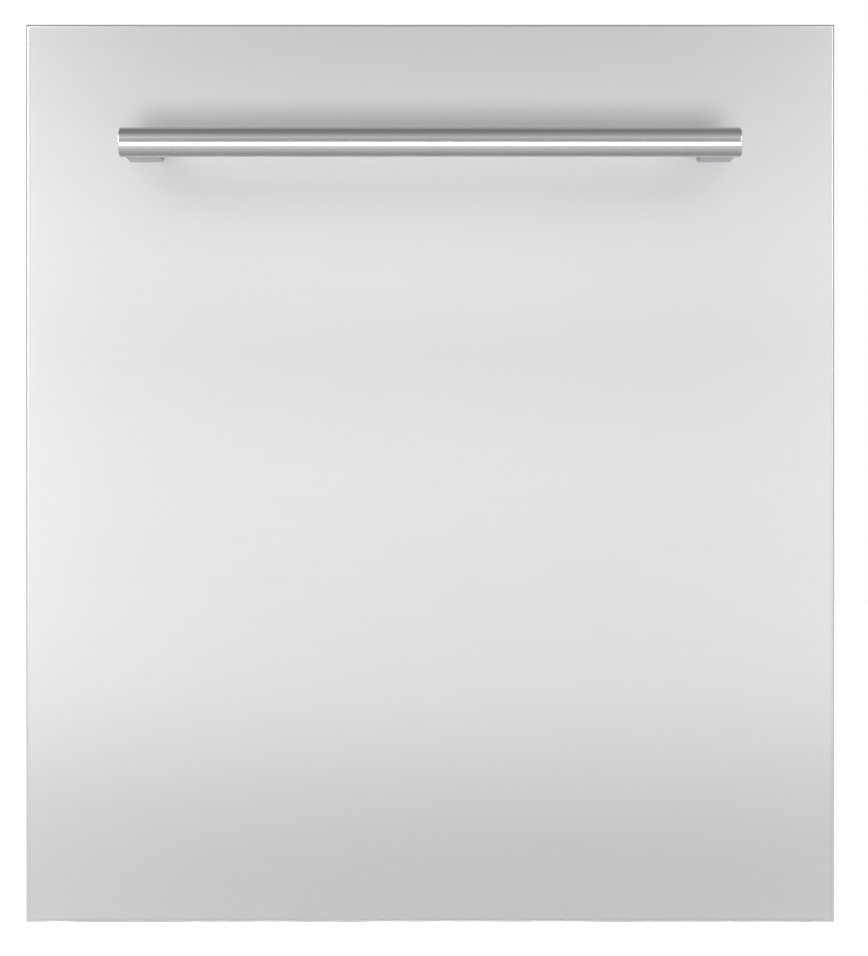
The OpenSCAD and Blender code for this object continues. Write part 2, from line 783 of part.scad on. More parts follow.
module cutlery_tray() color(blue) {
  w = 500;
  y0 = -172;
  y1 = 255;
  z0 = 700;
  flat_at([-w / 2, y0, z0], 3) grid(w, y1 - y0, 16, 14, 3);
  along_x([-w / 2, y0 - 0.1, z0], 3) grid(w, 40, 16, 1, 3);
  along_x([-w / 2, y1 + 3.1, z0], 3) grid(w, 40, 16, 1, 3);
  for (x = [-w / 2 - 3.1, w / 2 + 0.1]) along_y([x, y0, z0], 3) grid(y1 - y0, 40, 14, 1, 3);
  both_sides() {
    box([w / 2 + 3.2, -172, 708], [w / 2 + 7.2, 225, 724]);
    box([w / 2 + 7, -172, 710.3], [half_tub - 2.3, 225, 721.7]);
  }
}

// ---------------------------------------------------------------- list of the separate pieces

base_tray();
tub();
sump();
filter_plate();
filter_cylinder();
circulation_pump();
pump_rotor();
drain_pump();
inlet_valve();
riser_tube();
heater();
side_panels();
rear_panel();
top_cover();
counter_brackets();
door_gasket();
bottom_seal();
kick_plate();
junction_box();
water_float();
upper_rails();
cutlery_rails();
latch_strike();
hinge_brackets();
door_springs();
foot_front_left();
foot_front_right();
foot_rear_left();
foot_rear_right();
spring_links();
lower_spray_arm();
top_spray_arm();
outer_panel();
handle_bar();
handle_posts();
handle_screws();
door_damping_sheet();
door_liner();
control_panel();
control_board();
display_window();
hinge_arms();
door_latch();
dispenser_body();
dispenser_lid();
rinse_aid_cap();
power_button();
program_button();
option_button();
start_button();
lower_basket();
front_wheels();
rear_wheels();
folding_tines();
upper_basket();
upper_rail_slides();
upper_spray_arm();
cup_shelf();
cutlery_tray();
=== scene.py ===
"""Looks of the built in dishwasher. Metres, +X right seen from the front, +Y back, +Z up, door closed."""
from math import copysign, cos, pi, radians, sin

import bmesh
import bpy
from mathutils import Matrix, Vector


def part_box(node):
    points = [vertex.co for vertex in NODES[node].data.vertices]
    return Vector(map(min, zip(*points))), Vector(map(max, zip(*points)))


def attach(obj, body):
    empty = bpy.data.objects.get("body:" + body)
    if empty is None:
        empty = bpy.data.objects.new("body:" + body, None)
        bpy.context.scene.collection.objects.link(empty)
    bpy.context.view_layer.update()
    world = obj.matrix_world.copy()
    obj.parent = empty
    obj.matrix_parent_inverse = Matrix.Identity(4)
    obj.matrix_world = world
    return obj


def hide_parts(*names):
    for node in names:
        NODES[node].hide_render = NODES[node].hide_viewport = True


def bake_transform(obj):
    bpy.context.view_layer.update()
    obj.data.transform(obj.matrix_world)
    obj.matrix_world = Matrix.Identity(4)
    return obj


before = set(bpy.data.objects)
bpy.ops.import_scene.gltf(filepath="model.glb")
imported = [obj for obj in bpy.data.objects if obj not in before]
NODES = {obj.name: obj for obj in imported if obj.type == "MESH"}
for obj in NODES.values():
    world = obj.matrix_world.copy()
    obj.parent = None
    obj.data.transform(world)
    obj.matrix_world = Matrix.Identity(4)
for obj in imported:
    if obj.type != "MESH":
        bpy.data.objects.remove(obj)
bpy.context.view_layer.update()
RIGHT, BACK, UP = (1, 0, 0), (0, 1, 0), (0, 0, 1)

# studio light: world brightness by direction (0 straight down, 0.5 level, 1 straight up), lamps in watts
SKY = ((0.0, 0.3), (0.24, 0.2), (0.355, 3.6), (0.43, 0.05), (0.5, 0.36), (0.55, 0.27), (0.62, 0.45),
       (0.75, 0.68), (1.0, 0.15))
KEY_W, LOW_W, NEAR_W, TOE_W, LEFT_W, RIGHT_W, TOP_W, FLOOR_GLOW = 0.065, 0.105, 0.055, 0.18, 30, 19, 0.5, 0.18


# ------------------------------------------------------------------ camera, light, floor

def make_camera():
    """Straight on, 1.5 m in front of the door, a little below the panel's middle."""
    lo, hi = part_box("outer_panel")
    distance, photo_height = 1.5, 0.7066     # height of the photographed field at the door's face
    aside, below = 0.0028, 0.0035
    cam = bpy.data.objects.new("camera", bpy.data.cameras.new("camera"))
    bpy.context.collection.objects.link(cam)
    cam.data.sensor_width = 36
    cam.data.lens = 36 * distance / photo_height
    cam.location = (aside, lo.y - distance, (lo.z + hi.z) / 2 - below)
    cam.rotation_euler = (radians(90), 0, 0)
    cam.data.clip_start, cam.data.clip_end = 0.01, 50
    bpy.context.scene.camera = cam


def area_light(name, place, aim, size, watts, angle=180):
    """A rectangular lamp at place that looks at aim and shines within angle degrees."""
    data = bpy.data.lights.new(name, "AREA")
    data.shape = "RECTANGLE"
    data.size, data.size_y = size
    data.energy, data.spread = watts, radians(angle)
    lamp = bpy.data.objects.new(name, data)
    bpy.context.collection.objects.link(lamp)
    lamp.location = place
    lamp.rotation_euler = (Vector(aim) - Vector(place)).to_track_quat("-Z", "Y").to_euler()
    lamp.visible_camera = False


def make_world():
    """White to the camera; a soft studio for everything else: bright ahead, darker below and above."""
    world = bpy.data.worlds.new("studio")
    bpy.context.scene.world = world
    world.use_nodes = True
    nt = world.node_tree
    nt.nodes.clear()
    out, mix, path, ramp = (add(nt, kind) for kind in ("OutputWorld", "MixShader", "LightPath", "ValToRGB"))
    plain, room = add(nt, "Background", {"Color": (1, 1, 1, 1)}), add(nt, "Background")
    stops = ramp.color_ramp.elements
    stops.remove(stops[0])
    for i, (at, v) in enumerate(SKY):
        e = stops[0] if i == 0 else stops.new(at)
        e.position, e.color = at, (v, v, v, 1)
    for a, b in ((spread(nt, axes(nt, "Generated")["Z"], 0, 1, -1, 1), ramp.inputs["Fac"]),
                 (ramp.outputs["Color"], room.inputs["Color"]),
                 (path.outputs["Is Camera Ray"], mix.inputs["Fac"]),
                 (room.outputs[0], mix.inputs[1]), (plain.outputs[0], mix.inputs[2]),
                 (mix.outputs[0], out.inputs["Surface"])):
        nt.links.new(a, b)


def make_stage():
    """Floor and lamps."""
    view = bpy.context.scene.view_settings
    view.view_transform, view.look = "Standard", "None"
    bpy.ops.mesh.primitive_plane_add(size=1, location=(0, 2.425, 0))
    floor = bpy.context.object
    floor.name = "floor"
    floor.scale = (12, 7.15, 1)
    m, nt, p = new_material("pale_floor", (0.86, 0.86, 0.86), 0.0, 0.7)
    nt.links.new(tint(nt, noise(nt, 3, 3), (0.84,) * 3, (0.87,) * 3), p.inputs["Base Color"])
    p.inputs["Emission Color"].default_value = (1, 1, 1, 1)
    # the floor glows a little more behind the machine, so that it fades into the backdrop
    glow = spread(nt, axes(nt, "Generated")["Y"], FLOOR_GLOW, 0.72, 0.10, 0.19)
    nt.links.new(glow, p.inputs["Emission Strength"])
    floor.data.materials.append(m)
    # three low strips that throw the bar's soft shadow up the panel, and one for the toe kick
    area_light("low_front", (-0.25, -1.5, 0.20), (-0.05, -0.25, 0.74), (1.7, 0.16), KEY_W, 70)
    area_light("low_middle", (0, -1.0, 0.39), (0, -0.25, 0.74), (1.5, 0.10), LOW_W, 50)
    area_light("low_near", (0, -0.6, 0.577), (0, -0.25, 0.74), (1.2, 0.06), NEAR_W, 50)
    area_light("toe_strip", (0, -0.75, 0.04), (0, -0.19, 0.118), (0.9, 0.02), TOE_W, 9)
    area_light("left_soft", (-1.9, -1.7, 1.3), (0, -0.2, 0.5), (1.2, 1.6), LEFT_W)
    area_light("right_soft", (1.9, -1.7, 1.3), (0, -0.2, 0.5), (1.2, 1.6), RIGHT_W)
    area_light("top_soft", (0.2, -0.3, 2.3), (0, 0, 0.6), (1.6, 1.6), TOP_W)


# ------------------------------------------------------------------ materials

def add(nt, kind, values=()):
    """A new shader node with the given values of its inputs."""
    n = nt.nodes.new("ShaderNode" + kind)
    for name, value in dict(values).items():
        n.inputs[name].default_value = value
    return n


def axes(nt, coord):
    """X, Y and Z of a texture coordinate."""
    split = add(nt, "SeparateXYZ")
    nt.links.new(add(nt, "TexCoord").outputs[coord], split.inputs[0])
    return split.outputs


def new_material(name, colour, metal, rough):
    m = bpy.data.materials.new(name)
    m.use_nodes = True
    p = m.node_tree.nodes["Principled BSDF"]
    p.inputs["Base Color"].default_value = (*colour, 1)
    p.inputs["Metallic"].default_value = metal
    p.inputs["Roughness"].default_value = rough
    return m, m.node_tree, p


def noise(nt, scale, detail=4, rough=0.55, stretch=(1, 1, 1)):
    """Noise in metres of the object, squeezed by stretch; returns its factor output."""
    place = add(nt, "Mapping", {"Scale": stretch})
    tx = add(nt, "TexNoise", {"Scale": scale, "Detail": detail, "Roughness": rough})
    nt.links.new(add(nt, "TexCoord").outputs["Object"], place.inputs["Vector"])
    nt.links.new(place.outputs["Vector"], tx.inputs["Vector"])
    return tx.outputs["Fac"]


def spread(nt, value, lo, hi, low_in=0.3, high_in=0.7):
    """A value between low_in and high_in mapped to lo and hi."""
    r = add(nt, "MapRange", {"From Min": low_in, "From Max": high_in, "To Min": lo, "To Max": hi})
    nt.links.new(value, r.inputs["Value"])
    return r.outputs["Result"]


def tint(nt, value, dark, light, low_in=0.3, high_in=0.7):
    """A value between low_in and high_in mapped to two colours."""
    r = add(nt, "ValToRGB")
    e = r.color_ramp.elements
    e[0].position, e[1].position = low_in, high_in
    e[0].color, e[1].color = (*dark, 1), (*light, 1)
    nt.links.new(value, r.inputs["Fac"])
    return r.outputs["Color"]


def bump(nt, p, value, strength, depth):
    """Adds a height to the surface, on top of the bumps that it has."""
    b = add(nt, "Bump", {"Strength": strength, "Distance": depth})
    nt.links.new(value, b.inputs["Height"])
    last = p.inputs["Normal"].links
    if last:
        nt.links.new(last[0].from_socket, b.inputs["Normal"])
    nt.links.new(b.outputs["Normal"], p.inputs["Normal"])


def shade(c, k):
    """A colour made k times as bright."""
    return tuple(min(1, x * k) for x in c)


def brushed_steel(name, colour, rough, grain, vary=0.05, aniso=0.0):
    """Steel with a fine drawn grain that changes the colour, roughness and height a little. With aniso, its
    sheen is stretched along U of the UV map grain."""
    m, nt, p = new_material(name, colour, 1.0, rough)
    fine = noise(nt, 1.0, 3, 0.6, grain)
    wide = noise(nt, 1.0, 2, 0.5, tuple(g * 0.22 for g in grain))
    streaks = tint(nt, fine, shade(colour, 1 - vary), shade(colour, 1 + vary * 0.5))
    nt.links.new(streaks, p.inputs["Base Color"])
    sheen = spread(nt, wide, rough * (1 - 1.6 * vary), rough * (1 + 1.6 * vary))
    nt.links.new(sheen, p.inputs["Roughness"])
    bump(nt, p, fine, min(0.25, 10 * vary), 0.00002)
    if aniso:
        p.inputs["Anisotropic"].default_value = aniso
        t = add(nt, "Tangent")
        t.direction_type, t.uv_map = "UV_MAP", "grain"
        nt.links.new(t.outputs[0], p.inputs["Tangent"])
    return m


def sheet_steel(name, colour, rough, vary=0.06):
    """Plain rolled steel: cloudy sheen and faint fine scratches."""
    m, nt, p = new_material(name, colour, 1.0, rough)
    cloud = noise(nt, 9)
    hair = noise(nt, 1.0, 3, 0.6, (700, 40, 40))
    nt.links.new(tint(nt, cloud, shade(colour, 1 - vary), colour), p.inputs["Base Color"])
    nt.links.new(spread(nt, cloud, rough * 0.85, rough * 1.2), p.inputs["Roughness"])
    bump(nt, p, hair, 0.12, 0.00002)
    return m


def zinc_coat(name, colour, rough):
    """Galvanised sheet: soft edged crystals a few millimetres across."""
    m, nt, p = new_material(name, colour, 0.85, rough)
    v = add(nt, "TexVoronoi", {"Scale": 110})
    nt.links.new(add(nt, "TexCoord").outputs["Object"], v.inputs["Vector"])
    crystals = v.outputs["Color"]
    light = tint(nt, crystals, shade(colour, 0.86), shade(colour, 1.08), 0.1, 0.9)
    nt.links.new(light, p.inputs["Base Color"])
    nt.links.new(spread(nt, crystals, rough * 0.75, rough * 1.25, 0, 1), p.inputs["Roughness"])
    bump(nt, p, noise(nt, 260, 3), 0.10, 0.0001)
    return m


def plastic(name, colour, rough, grain=1400, depth=0.00006, vary=0.10, coat=0.0):
    """Moulded plastic with spark textured skin and slight cloudiness."""
    m, nt, p = new_material(name, colour, 0.0, rough)
    cloud = noise(nt, 18, 4, 0.6)
    skin = noise(nt, grain, 2, 0.5)
    nt.links.new(tint(nt, cloud, shade(colour, 1 - vary), shade(colour, 1 + vary)), p.inputs["Base Color"])
    nt.links.new(spread(nt, skin, rough * 0.88, min(1, rough * 1.1)), p.inputs["Roughness"])
    bump(nt, p, skin, 0.35, depth)
    if coat:
        p.inputs["Coat Weight"].default_value = coat
        p.inputs["Coat Roughness"].default_value = 0.08
    return m


def paint(name, colour, rough):
    """Powder coat with a fine orange peel."""
    m, nt, p = new_material(name, colour, 0.0, rough)
    nt.links.new(tint(nt, noise(nt, 30, 3), shade(colour, 0.97), colour), p.inputs["Base Color"])
    bump(nt, p, noise(nt, 620, 2), 0.3, 0.00012)
    nt.links.new(spread(nt, noise(nt, 90, 3), rough * 0.9, rough * 1.1), p.inputs["Roughness"])
    return m


def darken(m, factor):
    """Multiplies the colour of a material by the output of a node."""
    nt, colour = m.node_tree, m.node_tree.nodes["Principled BSDF"].inputs["Base Color"]
    mix = add(nt, "VectorMath")
    mix.operation = "MULTIPLY"
    nt.links.new(colour.links[0].from_socket, mix.inputs[0])
    nt.links.new(factor, mix.inputs[1])
    nt.links.new(mix.outputs[0], colour)


def painted_shade_low(m, box, k):
    """Painted shade: darkens the colour of the bar's lowest third, which the bright floor would light too
    much.
    """
    lo, hi = box
    nt, span = m.node_tree, hi.z - lo.z
    darken(m, spread(nt, axes(nt, "Object")["Z"], k, 1.0, lo.z + 0.04 * span, lo.z + 0.34 * span))


def painted_shade_rim(m, box, k, width):
    """Painted shade: darkens the colour of the panel's side and bottom bends, which the lamps would light too
    much.
    """
    nt, (lo, hi) = m.node_tree, box
    place = axes(nt, "Object")

    def calc(op, a, b=0.0):
        n = add(nt, "Math")
        n.operation = op
        for socket, v in zip(n.inputs, (a, b)):
            if isinstance(v, float):
                socket.default_value = v
            else:
                nt.links.new(v, socket)
        return n.outputs[0]
    off_middle = calc("ABSOLUTE", calc("SUBTRACT", place["X"], (lo.x + hi.x) / 2))
    from_side = calc("SUBTRACT", (hi.x - lo.x) / 2, off_middle)
    from_edge = calc("MINIMUM", from_side, calc("SUBTRACT", place["Z"], lo.z))
    darken(m, spread(nt, from_edge, k, 1.0, 0.0006, width))


def make_materials():
    wire_blue, black = (0.33, 0.40, 0.46), (0.010, 0.011, 0.013)
    M = {
        "panel": brushed_steel("panel_steel", (0.80, 0.805, 0.82), 0.42, (1.2, 60, 1500), 0.012, 0.6),
        "handle": brushed_steel("handle_steel", (0.70, 0.705, 0.72), 0.27, (5, 2600, 2600), 0.04),
        # the posts' steel is the handle's steel darkened to about half: painted shade, so the low lamps don't
        # make them glow
        "post": brushed_steel("post_steel_painted_shade", (0.34, 0.345, 0.355), 0.55, (500, 3, 500)),
        "tub": sheet_steel("tub_steel", (0.72, 0.725, 0.735), 0.27),
        "mesh": sheet_steel("filter_steel", (0.66, 0.665, 0.67), 0.33),
        "zinc": zinc_coat("zinc_steel", (0.62, 0.635, 0.65), 0.42),
        "kick": paint("kick_paint", (0.88, 0.88, 0.88), 0.5),
        "dark": plastic("dark_plastic", (0.035, 0.036, 0.040), 0.48),
        "strip": plastic("strip_plastic", (0.045, 0.047, 0.052), 0.36, 2200, 0.00004),
        "grey": plastic("grey_plastic", (0.30, 0.32, 0.34), 0.42),
        "pale": plastic("pale_plastic", (0.72, 0.73, 0.73), 0.38),
        "rubber": plastic("rubber", (0.028, 0.028, 0.030), 0.68, 900, 0.0001),
        "bitumen": plastic("bitumen", (0.020, 0.020, 0.019), 0.85, 160, 0.0006, 0.3),
        "circuit": plastic("circuit", (0.015, 0.13, 0.06), 0.30, 500, 0.00003, 0.25, 0.4),
        "wire": plastic("coated_wire", wire_blue, 0.34, 900, 0.00003, 0.06),
        "tray": plastic("tray_plastic", wire_blue, 0.40),
        "heater": sheet_steel("heater_steel", (0.50, 0.47, 0.44), 0.22, 0.25),
        "button": brushed_steel("button_metal", (0.66, 0.665, 0.67), 0.25, (900, 900, 60)),
        "segments": plastic("display_segments", (0.20, 0.22, 0.24), 0.3, 2600, 0.00003)}
    # painted shade: the panel's side and bottom bends are darkened in its colour
    painted_shade_rim(M["panel"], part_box("outer_panel"), 0.77, 0.0034)
    # painted shade: the lowest third of the handle bar is darkened in its colour
    painted_shade_low(M["handle"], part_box("handle_bar"), 0.4)
    M["window"], nt, p = new_material("window", black, 0.0, 0.05)
    p.inputs["Coat Weight"].default_value = 1.0
    nt.links.new(spread(nt, noise(nt, 60, 3), 0.04, 0.09), p.inputs["Roughness"])
    return M


# ------------------------------------------------------------------ shape helpers

def mesh_object(name, bm):
    """A linked object with the mesh of a bmesh."""
    me = bpy.data.meshes.new(name)
    bm.to_mesh(me)
    bm.free()
    o = bpy.data.objects.new(name, me)
    bpy.context.collection.objects.link(o)
    return o


def piece(name, bm, body, material, stands_for="", sharp=35, turn_out=True):
    """Turns a bmesh in metres into a piece that rides on a CAD body and may stand for a CAD node."""
    bmesh.ops.remove_doubles(bm, verts=bm.verts, dist=1e-6)
    if turn_out:
        bmesh.ops.recalc_face_normals(bm, faces=bm.faces)
    o = mesh_object(name, bm)
    o.data.materials.append(MAT[material])
    o.data.shade_smooth()
    o.data.set_sharp_from_angle(angle=radians(sharp))
    if body:
        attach(o, body)
    if stands_for:
        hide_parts(stands_for)
    return o


def block(bm, a, b, edge=0.0, steps=2):
    """A box between two opposite corners, with all edges rounded by edge."""
    made = bmesh.ops.create_cube(bm, size=1)["verts"]
    lo, hi = (Vector(map(pick, a, b)) for pick in (min, max))
    for v in made:
        v.co = Vector((lo[i] + (v.co[i] + 0.5) * (hi[i] - lo[i]) for i in range(3)))
    if edge:
        edges = {e for v in made for e in v.link_edges}
        bmesh.ops.bevel(bm, geom=list(edges), offset=edge, segments=steps, affect="EDGES", profile=0.5)


def turn(n):
    """The angles of n points round a circle."""
    return [2 * pi * k / n for k in range(n)]


def verts(bm, points):
    return [bm.verts.new(p) for p in points]


def pairs(rings, closed=False):
    """Each ring with the next one, and the last with the first when closed."""
    return list(zip(rings, rings[1:])) + ([(rings[-1], rings[0])] if closed else [])


def lathe(bm, profile, origin, axis=UP, steps=48, closed=False):
    """Turns (radius, height) points about an axis through origin."""
    m = Matrix.Translation(origin) @ Vector(axis).to_track_quat("Z", "Y").to_matrix().to_4x4()
    rings = []
    for r, h in profile:
        around = turn(steps) if r >= 1e-7 else [0]
        rings.append(verts(bm, [m @ Vector((r * cos(t), r * sin(t), h)) for t in around]))
    for a, b in pairs(rings, closed):
        for k in range(steps if len(a) + len(b) > 2 else 0):
            j = (k + 1) % steps
            if len(a) == 1:
                bm.faces.new((a[0], b[k], b[j]))
            elif len(b) == 1:
                bm.faces.new((a[j], a[k], b[0]))
            else:
                bm.faces.new((a[k], a[j], b[j], b[k]))


def rounded(p, a, b, radius, steps):
    """Points of the rounded corner p between its neighbours a and b."""
    a, b = a - p, b - p
    cut = min(radius, a.length * 0.49, b.length * 0.49)
    a, b = p + a.normalized() * cut, p + b.normalized() * cut
    ts = [k / steps for k in range(steps + 1)]
    return [(1 - t) ** 2 * a + 2 * t * (1 - t) * p + t * t * b for t in ts]


def filleted(points, radius, closed=False, steps=4):
    """The path through points with its corners rounded."""
    pts = [Vector(p) for p in points]
    n, out = len(pts), []
    for i, p in enumerate(pts):
        free_end = not closed and i in (0, n - 1)
        out += [p] if free_end else rounded(p, pts[i - 1], pts[(i + 1) % n], radius, steps)
    return out


def tube(bm, points, radius, closed=False, sides=8):
    """A round wire along points, with its frame carried from point to point."""
    pts = [Vector(p) for p in points]
    n = len(pts)
    tangents = []
    for i in range(n):
        a = pts[i - 1] if closed or i else pts[i]
        b = pts[(i + 1) % n] if closed or i < n - 1 else pts[i]
        tangents.append((b - a).normalized())
    side = tangents[0].orthogonal().normalized()
    rings = []
    for p, t in zip(pts, tangents):
        side = (side - t * side.dot(t)).normalized()
        up = t.cross(side)
        rings.append(verts(bm, [p + radius * (cos(a) * side + sin(a) * up) for a in turn(sides)]))
    for a, b in pairs(rings, closed):
        shift = 0
        if closed and a is rings[-1]:
            shift = min(range(sides), key=lambda s: (a[0].co - b[s].co).length)
        for k in range(sides):
            bm.faces.new((a[k], a[(k + 1) % sides], b[(k + 1 + shift) % sides], b[(k + shift) % sides]))
    if not closed:
        for ring, t in ((rings[0], -tangents[0]), (rings[-1], tangents[-1])):
            tip = bm.verts.new(sum((v.co for v in ring), Vector()) / sides + t * radius * 0.7)
            for k in range(sides):
                bm.faces.new((ring[k], ring[(k + 1) % sides], tip))


def dress(node, material, edge=0.0003):
    """Finish of a CAD node that keeps its shape: its material, and edges broken by a small bevel."""
    o = NODES[node]
    o.data.materials.clear()
    o.data.materials.append(MAT[material])
    w = o.modifiers.new("weld", "WELD")
    w.merge_threshold = 0.000005
    b = o.modifiers.new("edges", "BEVEL")
    b.width, b.segments, b.limit_method, b.angle_limit = edge, 2, "ANGLE", radians(40)
    b.harden_normals = True
    b.use_clamp_overlap = True


# ------------------------------------------------------------------ door front

def make_outer_panel():
    """One folded sheet: flat face, bends, 20 mm returns, open behind. U of its UV map runs up the panel."""
    lo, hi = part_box("outer_panel")
    bend, t, steps = 0.0025, 0.001, 6     # radius of the bends, thickness of the sheet
    bm = bmesh.new()

    def ring(inset, back):
        """Rounded rectangle of the sheet's outside at a depth behind the face."""
        x0, x1, z0, z1 = lo.x + inset, hi.x - inset, lo.z + inset, hi.z - inset
        return [bm.verts.new((x, lo.y + back, z)) for x, z in ((x0, z0), (x1, z0), (x1, z1), (x0, z1))]
    quarter = [pi / 2 * k / steps for k in range(steps + 1)]
    rings = [ring(bend * (1 - sin(a)), bend * (1 - cos(a))) for a in quarter]
    rings += [ring(0, hi.y - lo.y), ring(t, hi.y - lo.y), ring(t, bend), ring(bend, t)]
    skin(bm, rings, True, True)
    uv = bm.loops.layers.uv.new("grain")
    for f in bm.faces:
        for l in f.loops:
            l[uv].uv = (l.vert.co.z, l.vert.co.x)
    piece("door_front", bm, "door", "panel", "outer_panel", sharp=30)


def make_handle():
    """Bar with rounded ends, and two posts that reach a little into it."""
    lo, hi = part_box("handle_bar")
    r, half, fillet = (hi.z - lo.z) / 2, (hi.x - lo.x) / 2, 0.0018
    profile = [(0, -half), (r - fillet, -half)]
    profile += [(r - fillet + fillet * sin(a), -half + fillet - fillet * cos(a))
                for a in (pi / 2 * k / 6 for k in range(1, 7))]
    profile += [(x, -h) for x, h in reversed(profile)]
    bm = bmesh.new()
    lathe(bm, profile, Vector((0, lo.y + r, (lo.z + hi.z) / 2)), RIGHT, 96)
    piece("bar", bm, "door", "handle", "handle_bar", sharp=40)
    lo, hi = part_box("handle_posts")
    width, into_bar = 0.025, 0.002
    bm = bmesh.new()
    for s in (-1, 1):
        block(bm, (s * (hi.x - width), lo.y - into_bar, lo.z), (s * hi.x, hi.y, hi.z), 0.0008, 3)
    piece("posts", bm, "door", "post", "handle_posts")


# ------------------------------------------------------------------ shapes in millimetres

MM = 0.001


def part(name, bm, body, material, stands_for="", sharp=35, turn_out=True):
    """A piece whose bmesh is in millimetres."""
    bmesh.ops.scale(bm, vec=(MM,) * 3, verts=bm.verts)
    return piece(name, bm, body, material, stands_for, sharp, turn_out)


def wires(bm, paths, radius, bend=8, closed=False, sides=8):
    """Round wires along paths, bent at their corners."""
    for p in paths:
        tube(bm, filleted(p, bend, closed), radius, closed, sides)


def rod(bm, a, b, radius, steps=24, tip=0.6):
    """A round bar between two points with softened ends."""
    a, b = Vector(a), Vector(b)
    n = (b - a).length
    lathe(bm, [(0, 0), (radius - tip, 0), (radius, tip), (radius, n - tip), (radius - tip, n), (0, n)], a,
          b - a, steps)


def ribbon(bm, points, profile, closed=False, up=BACK):
    """Sweeps a flat profile of (across, along up) points along a path that lies square to up."""
    pts = [Vector(p) for p in points]
    n, up, rings = len(pts), Vector(up), []
    for i, p in enumerate(pts):
        a = pts[i - 1] if closed or i else p
        b = pts[(i + 1) % n] if closed or i < n - 1 else p
        side = (b - a).normalized().cross(up)
        rings.append([bm.verts.new(p + side * u + up * v) for u, v in profile])
    skin(bm, rings + rings[:1] if closed else rings, not closed, not closed)


def oval(a, b, steps=16, power=1.0):
    """Closed outline with half axes a and b; a power below 1 makes it boxier."""
    return [(a * copysign(abs(c) ** power, c), b * copysign(abs(s) ** power, s))
            for c, s in ((cos(t), sin(t)) for t in turn(steps))]


def rounded_rect(x0, x1, y, z0, z1, radius, steps=4):
    """Path of a rounded rectangle at depth y."""
    return filleted([(x0, y, z0), (x1, y, z0), (x1, y, z1), (x0, y, z1)], radius, True, steps)


def skin(bm, rings, first=False, last=False, closed=True):
    """Faces between rings of points, and over the first and the last ring."""
    for a, b in pairs(rings):
        n = len(a)
        for k in range(n if closed else n - 1):
            bm.faces.new((a[k], a[(k + 1) % n], b[(k + 1) % n], b[k]))
    if first:
        bm.faces.new(rings[0])
    if last:
        bm.faces.new(list(reversed(rings[-1])))


def settle(o):
    """Applies a piece's modifiers to its mesh."""
    dg = bpy.context.evaluated_depsgraph_get()
    me = bpy.data.meshes.new_from_object(o.evaluated_get(dg), depsgraph=dg)
    old = o.data
    o.modifiers.clear()
    o.data = me
    bpy.data.meshes.remove(old)
    me.name = o.name
    me.set_sharp_from_angle(angle=radians(35))


def thicken(o, millimetres, flip=False):
    """Gives a pressed sheet its thickness, away from its front."""
    if flip:
        o.data.flip_normals()
    s = o.modifiers.new("sheet", "SOLIDIFY")
    s.thickness, s.offset, s.use_even_offset = millimetres * MM, -1, False
    settle(o)


def carve(o, build):
    """Cuts the closed shapes that build() draws, in millimetres, out of a piece."""
    bm = bmesh.new()
    build(bm)
    bmesh.ops.scale(bm, vec=(MM,) * 3, verts=bm.verts)
    bmesh.ops.recalc_face_normals(bm, faces=bm.faces)
    tool = mesh_object("cut", bm)
    b = o.modifiers.new("cut", "BOOLEAN")
    b.object, b.operation, b.solver, b.use_self = tool, "DIFFERENCE", "EXACT", True
    settle(o)
    bpy.data.meshes.remove(tool.data)


def faces_to(o, axis, sign, test):
    """True when the face nearest to a point looks along sign on axis."""
    f = min(o.data.polygons, key=lambda p: (p.center - Vector(test) * MM).length)
    return f.normal[axis] * sign > 0


def hollow(t, centre, half, fall):
    """1 inside centre +- half, falling smoothly to 0 over fall."""
    d = abs(t - centre) - half
    if d <= 0:
        return 1.0
    return 0.0 if d >= fall else 0.5 + 0.5 * cos(pi * d / fall)


def pressing(x, y, fields, fall=5):
    """Depth of the deepest pressed field at a point; a field is (x, y, half x, half y, depth)."""
    depths = (d * hollow(x, cx, hx, fall) * hollow(y, cy, hy, fall) for cx, cy, hx, hy, d in fields)
    return max(depths, key=abs, default=0)


def lines(lo, hi, step, fields, axis):
    """Grid lines from lo to hi, closer together at the edges of the pressed fields along that axis."""
    n = max(1, round((hi - lo) / step))
    out = {round(lo + (hi - lo) * k / n, 3) for k in range(n + 1)}
    near = {f[axis] + s * (f[axis + 2] + e) for f in fields for s in (-1, 1) for e in (0, 1.6, 3.3, 5)}
    out = sorted(out | {round(v, 3) for v in near if lo < v < hi})
    return [v for i, v in enumerate(out) if i == 0 or v - out[i - 1] > 0.4]


def pressed_sheet(bm, us, vs, place):
    """Grid of quads; place(u, v) gives the point."""
    grid = [[bm.verts.new(place(u, v)) for u in us] for v in vs]
    for a, b in zip(grid, grid[1:]):
        for k in range(len(us) - 1):
            bm.faces.new((a[k], a[k + 1], b[k + 1], b[k]))
    return grid


def screw_head(bm, place, axis, radius=4.0, tall=1.5):
    """Pan head with a round dimple."""
    lathe(bm, [(0, -1), (radius, -1), (radius, tall * 0.35), (radius * 0.8, tall * 0.85),
               (radius * 0.45, tall), (radius * 0.4, tall),
               (radius * 0.28, tall * 0.45), (0, tall * 0.4)], place, axis, 20)


# ------------------------------------------------------------------ tub and body sheets

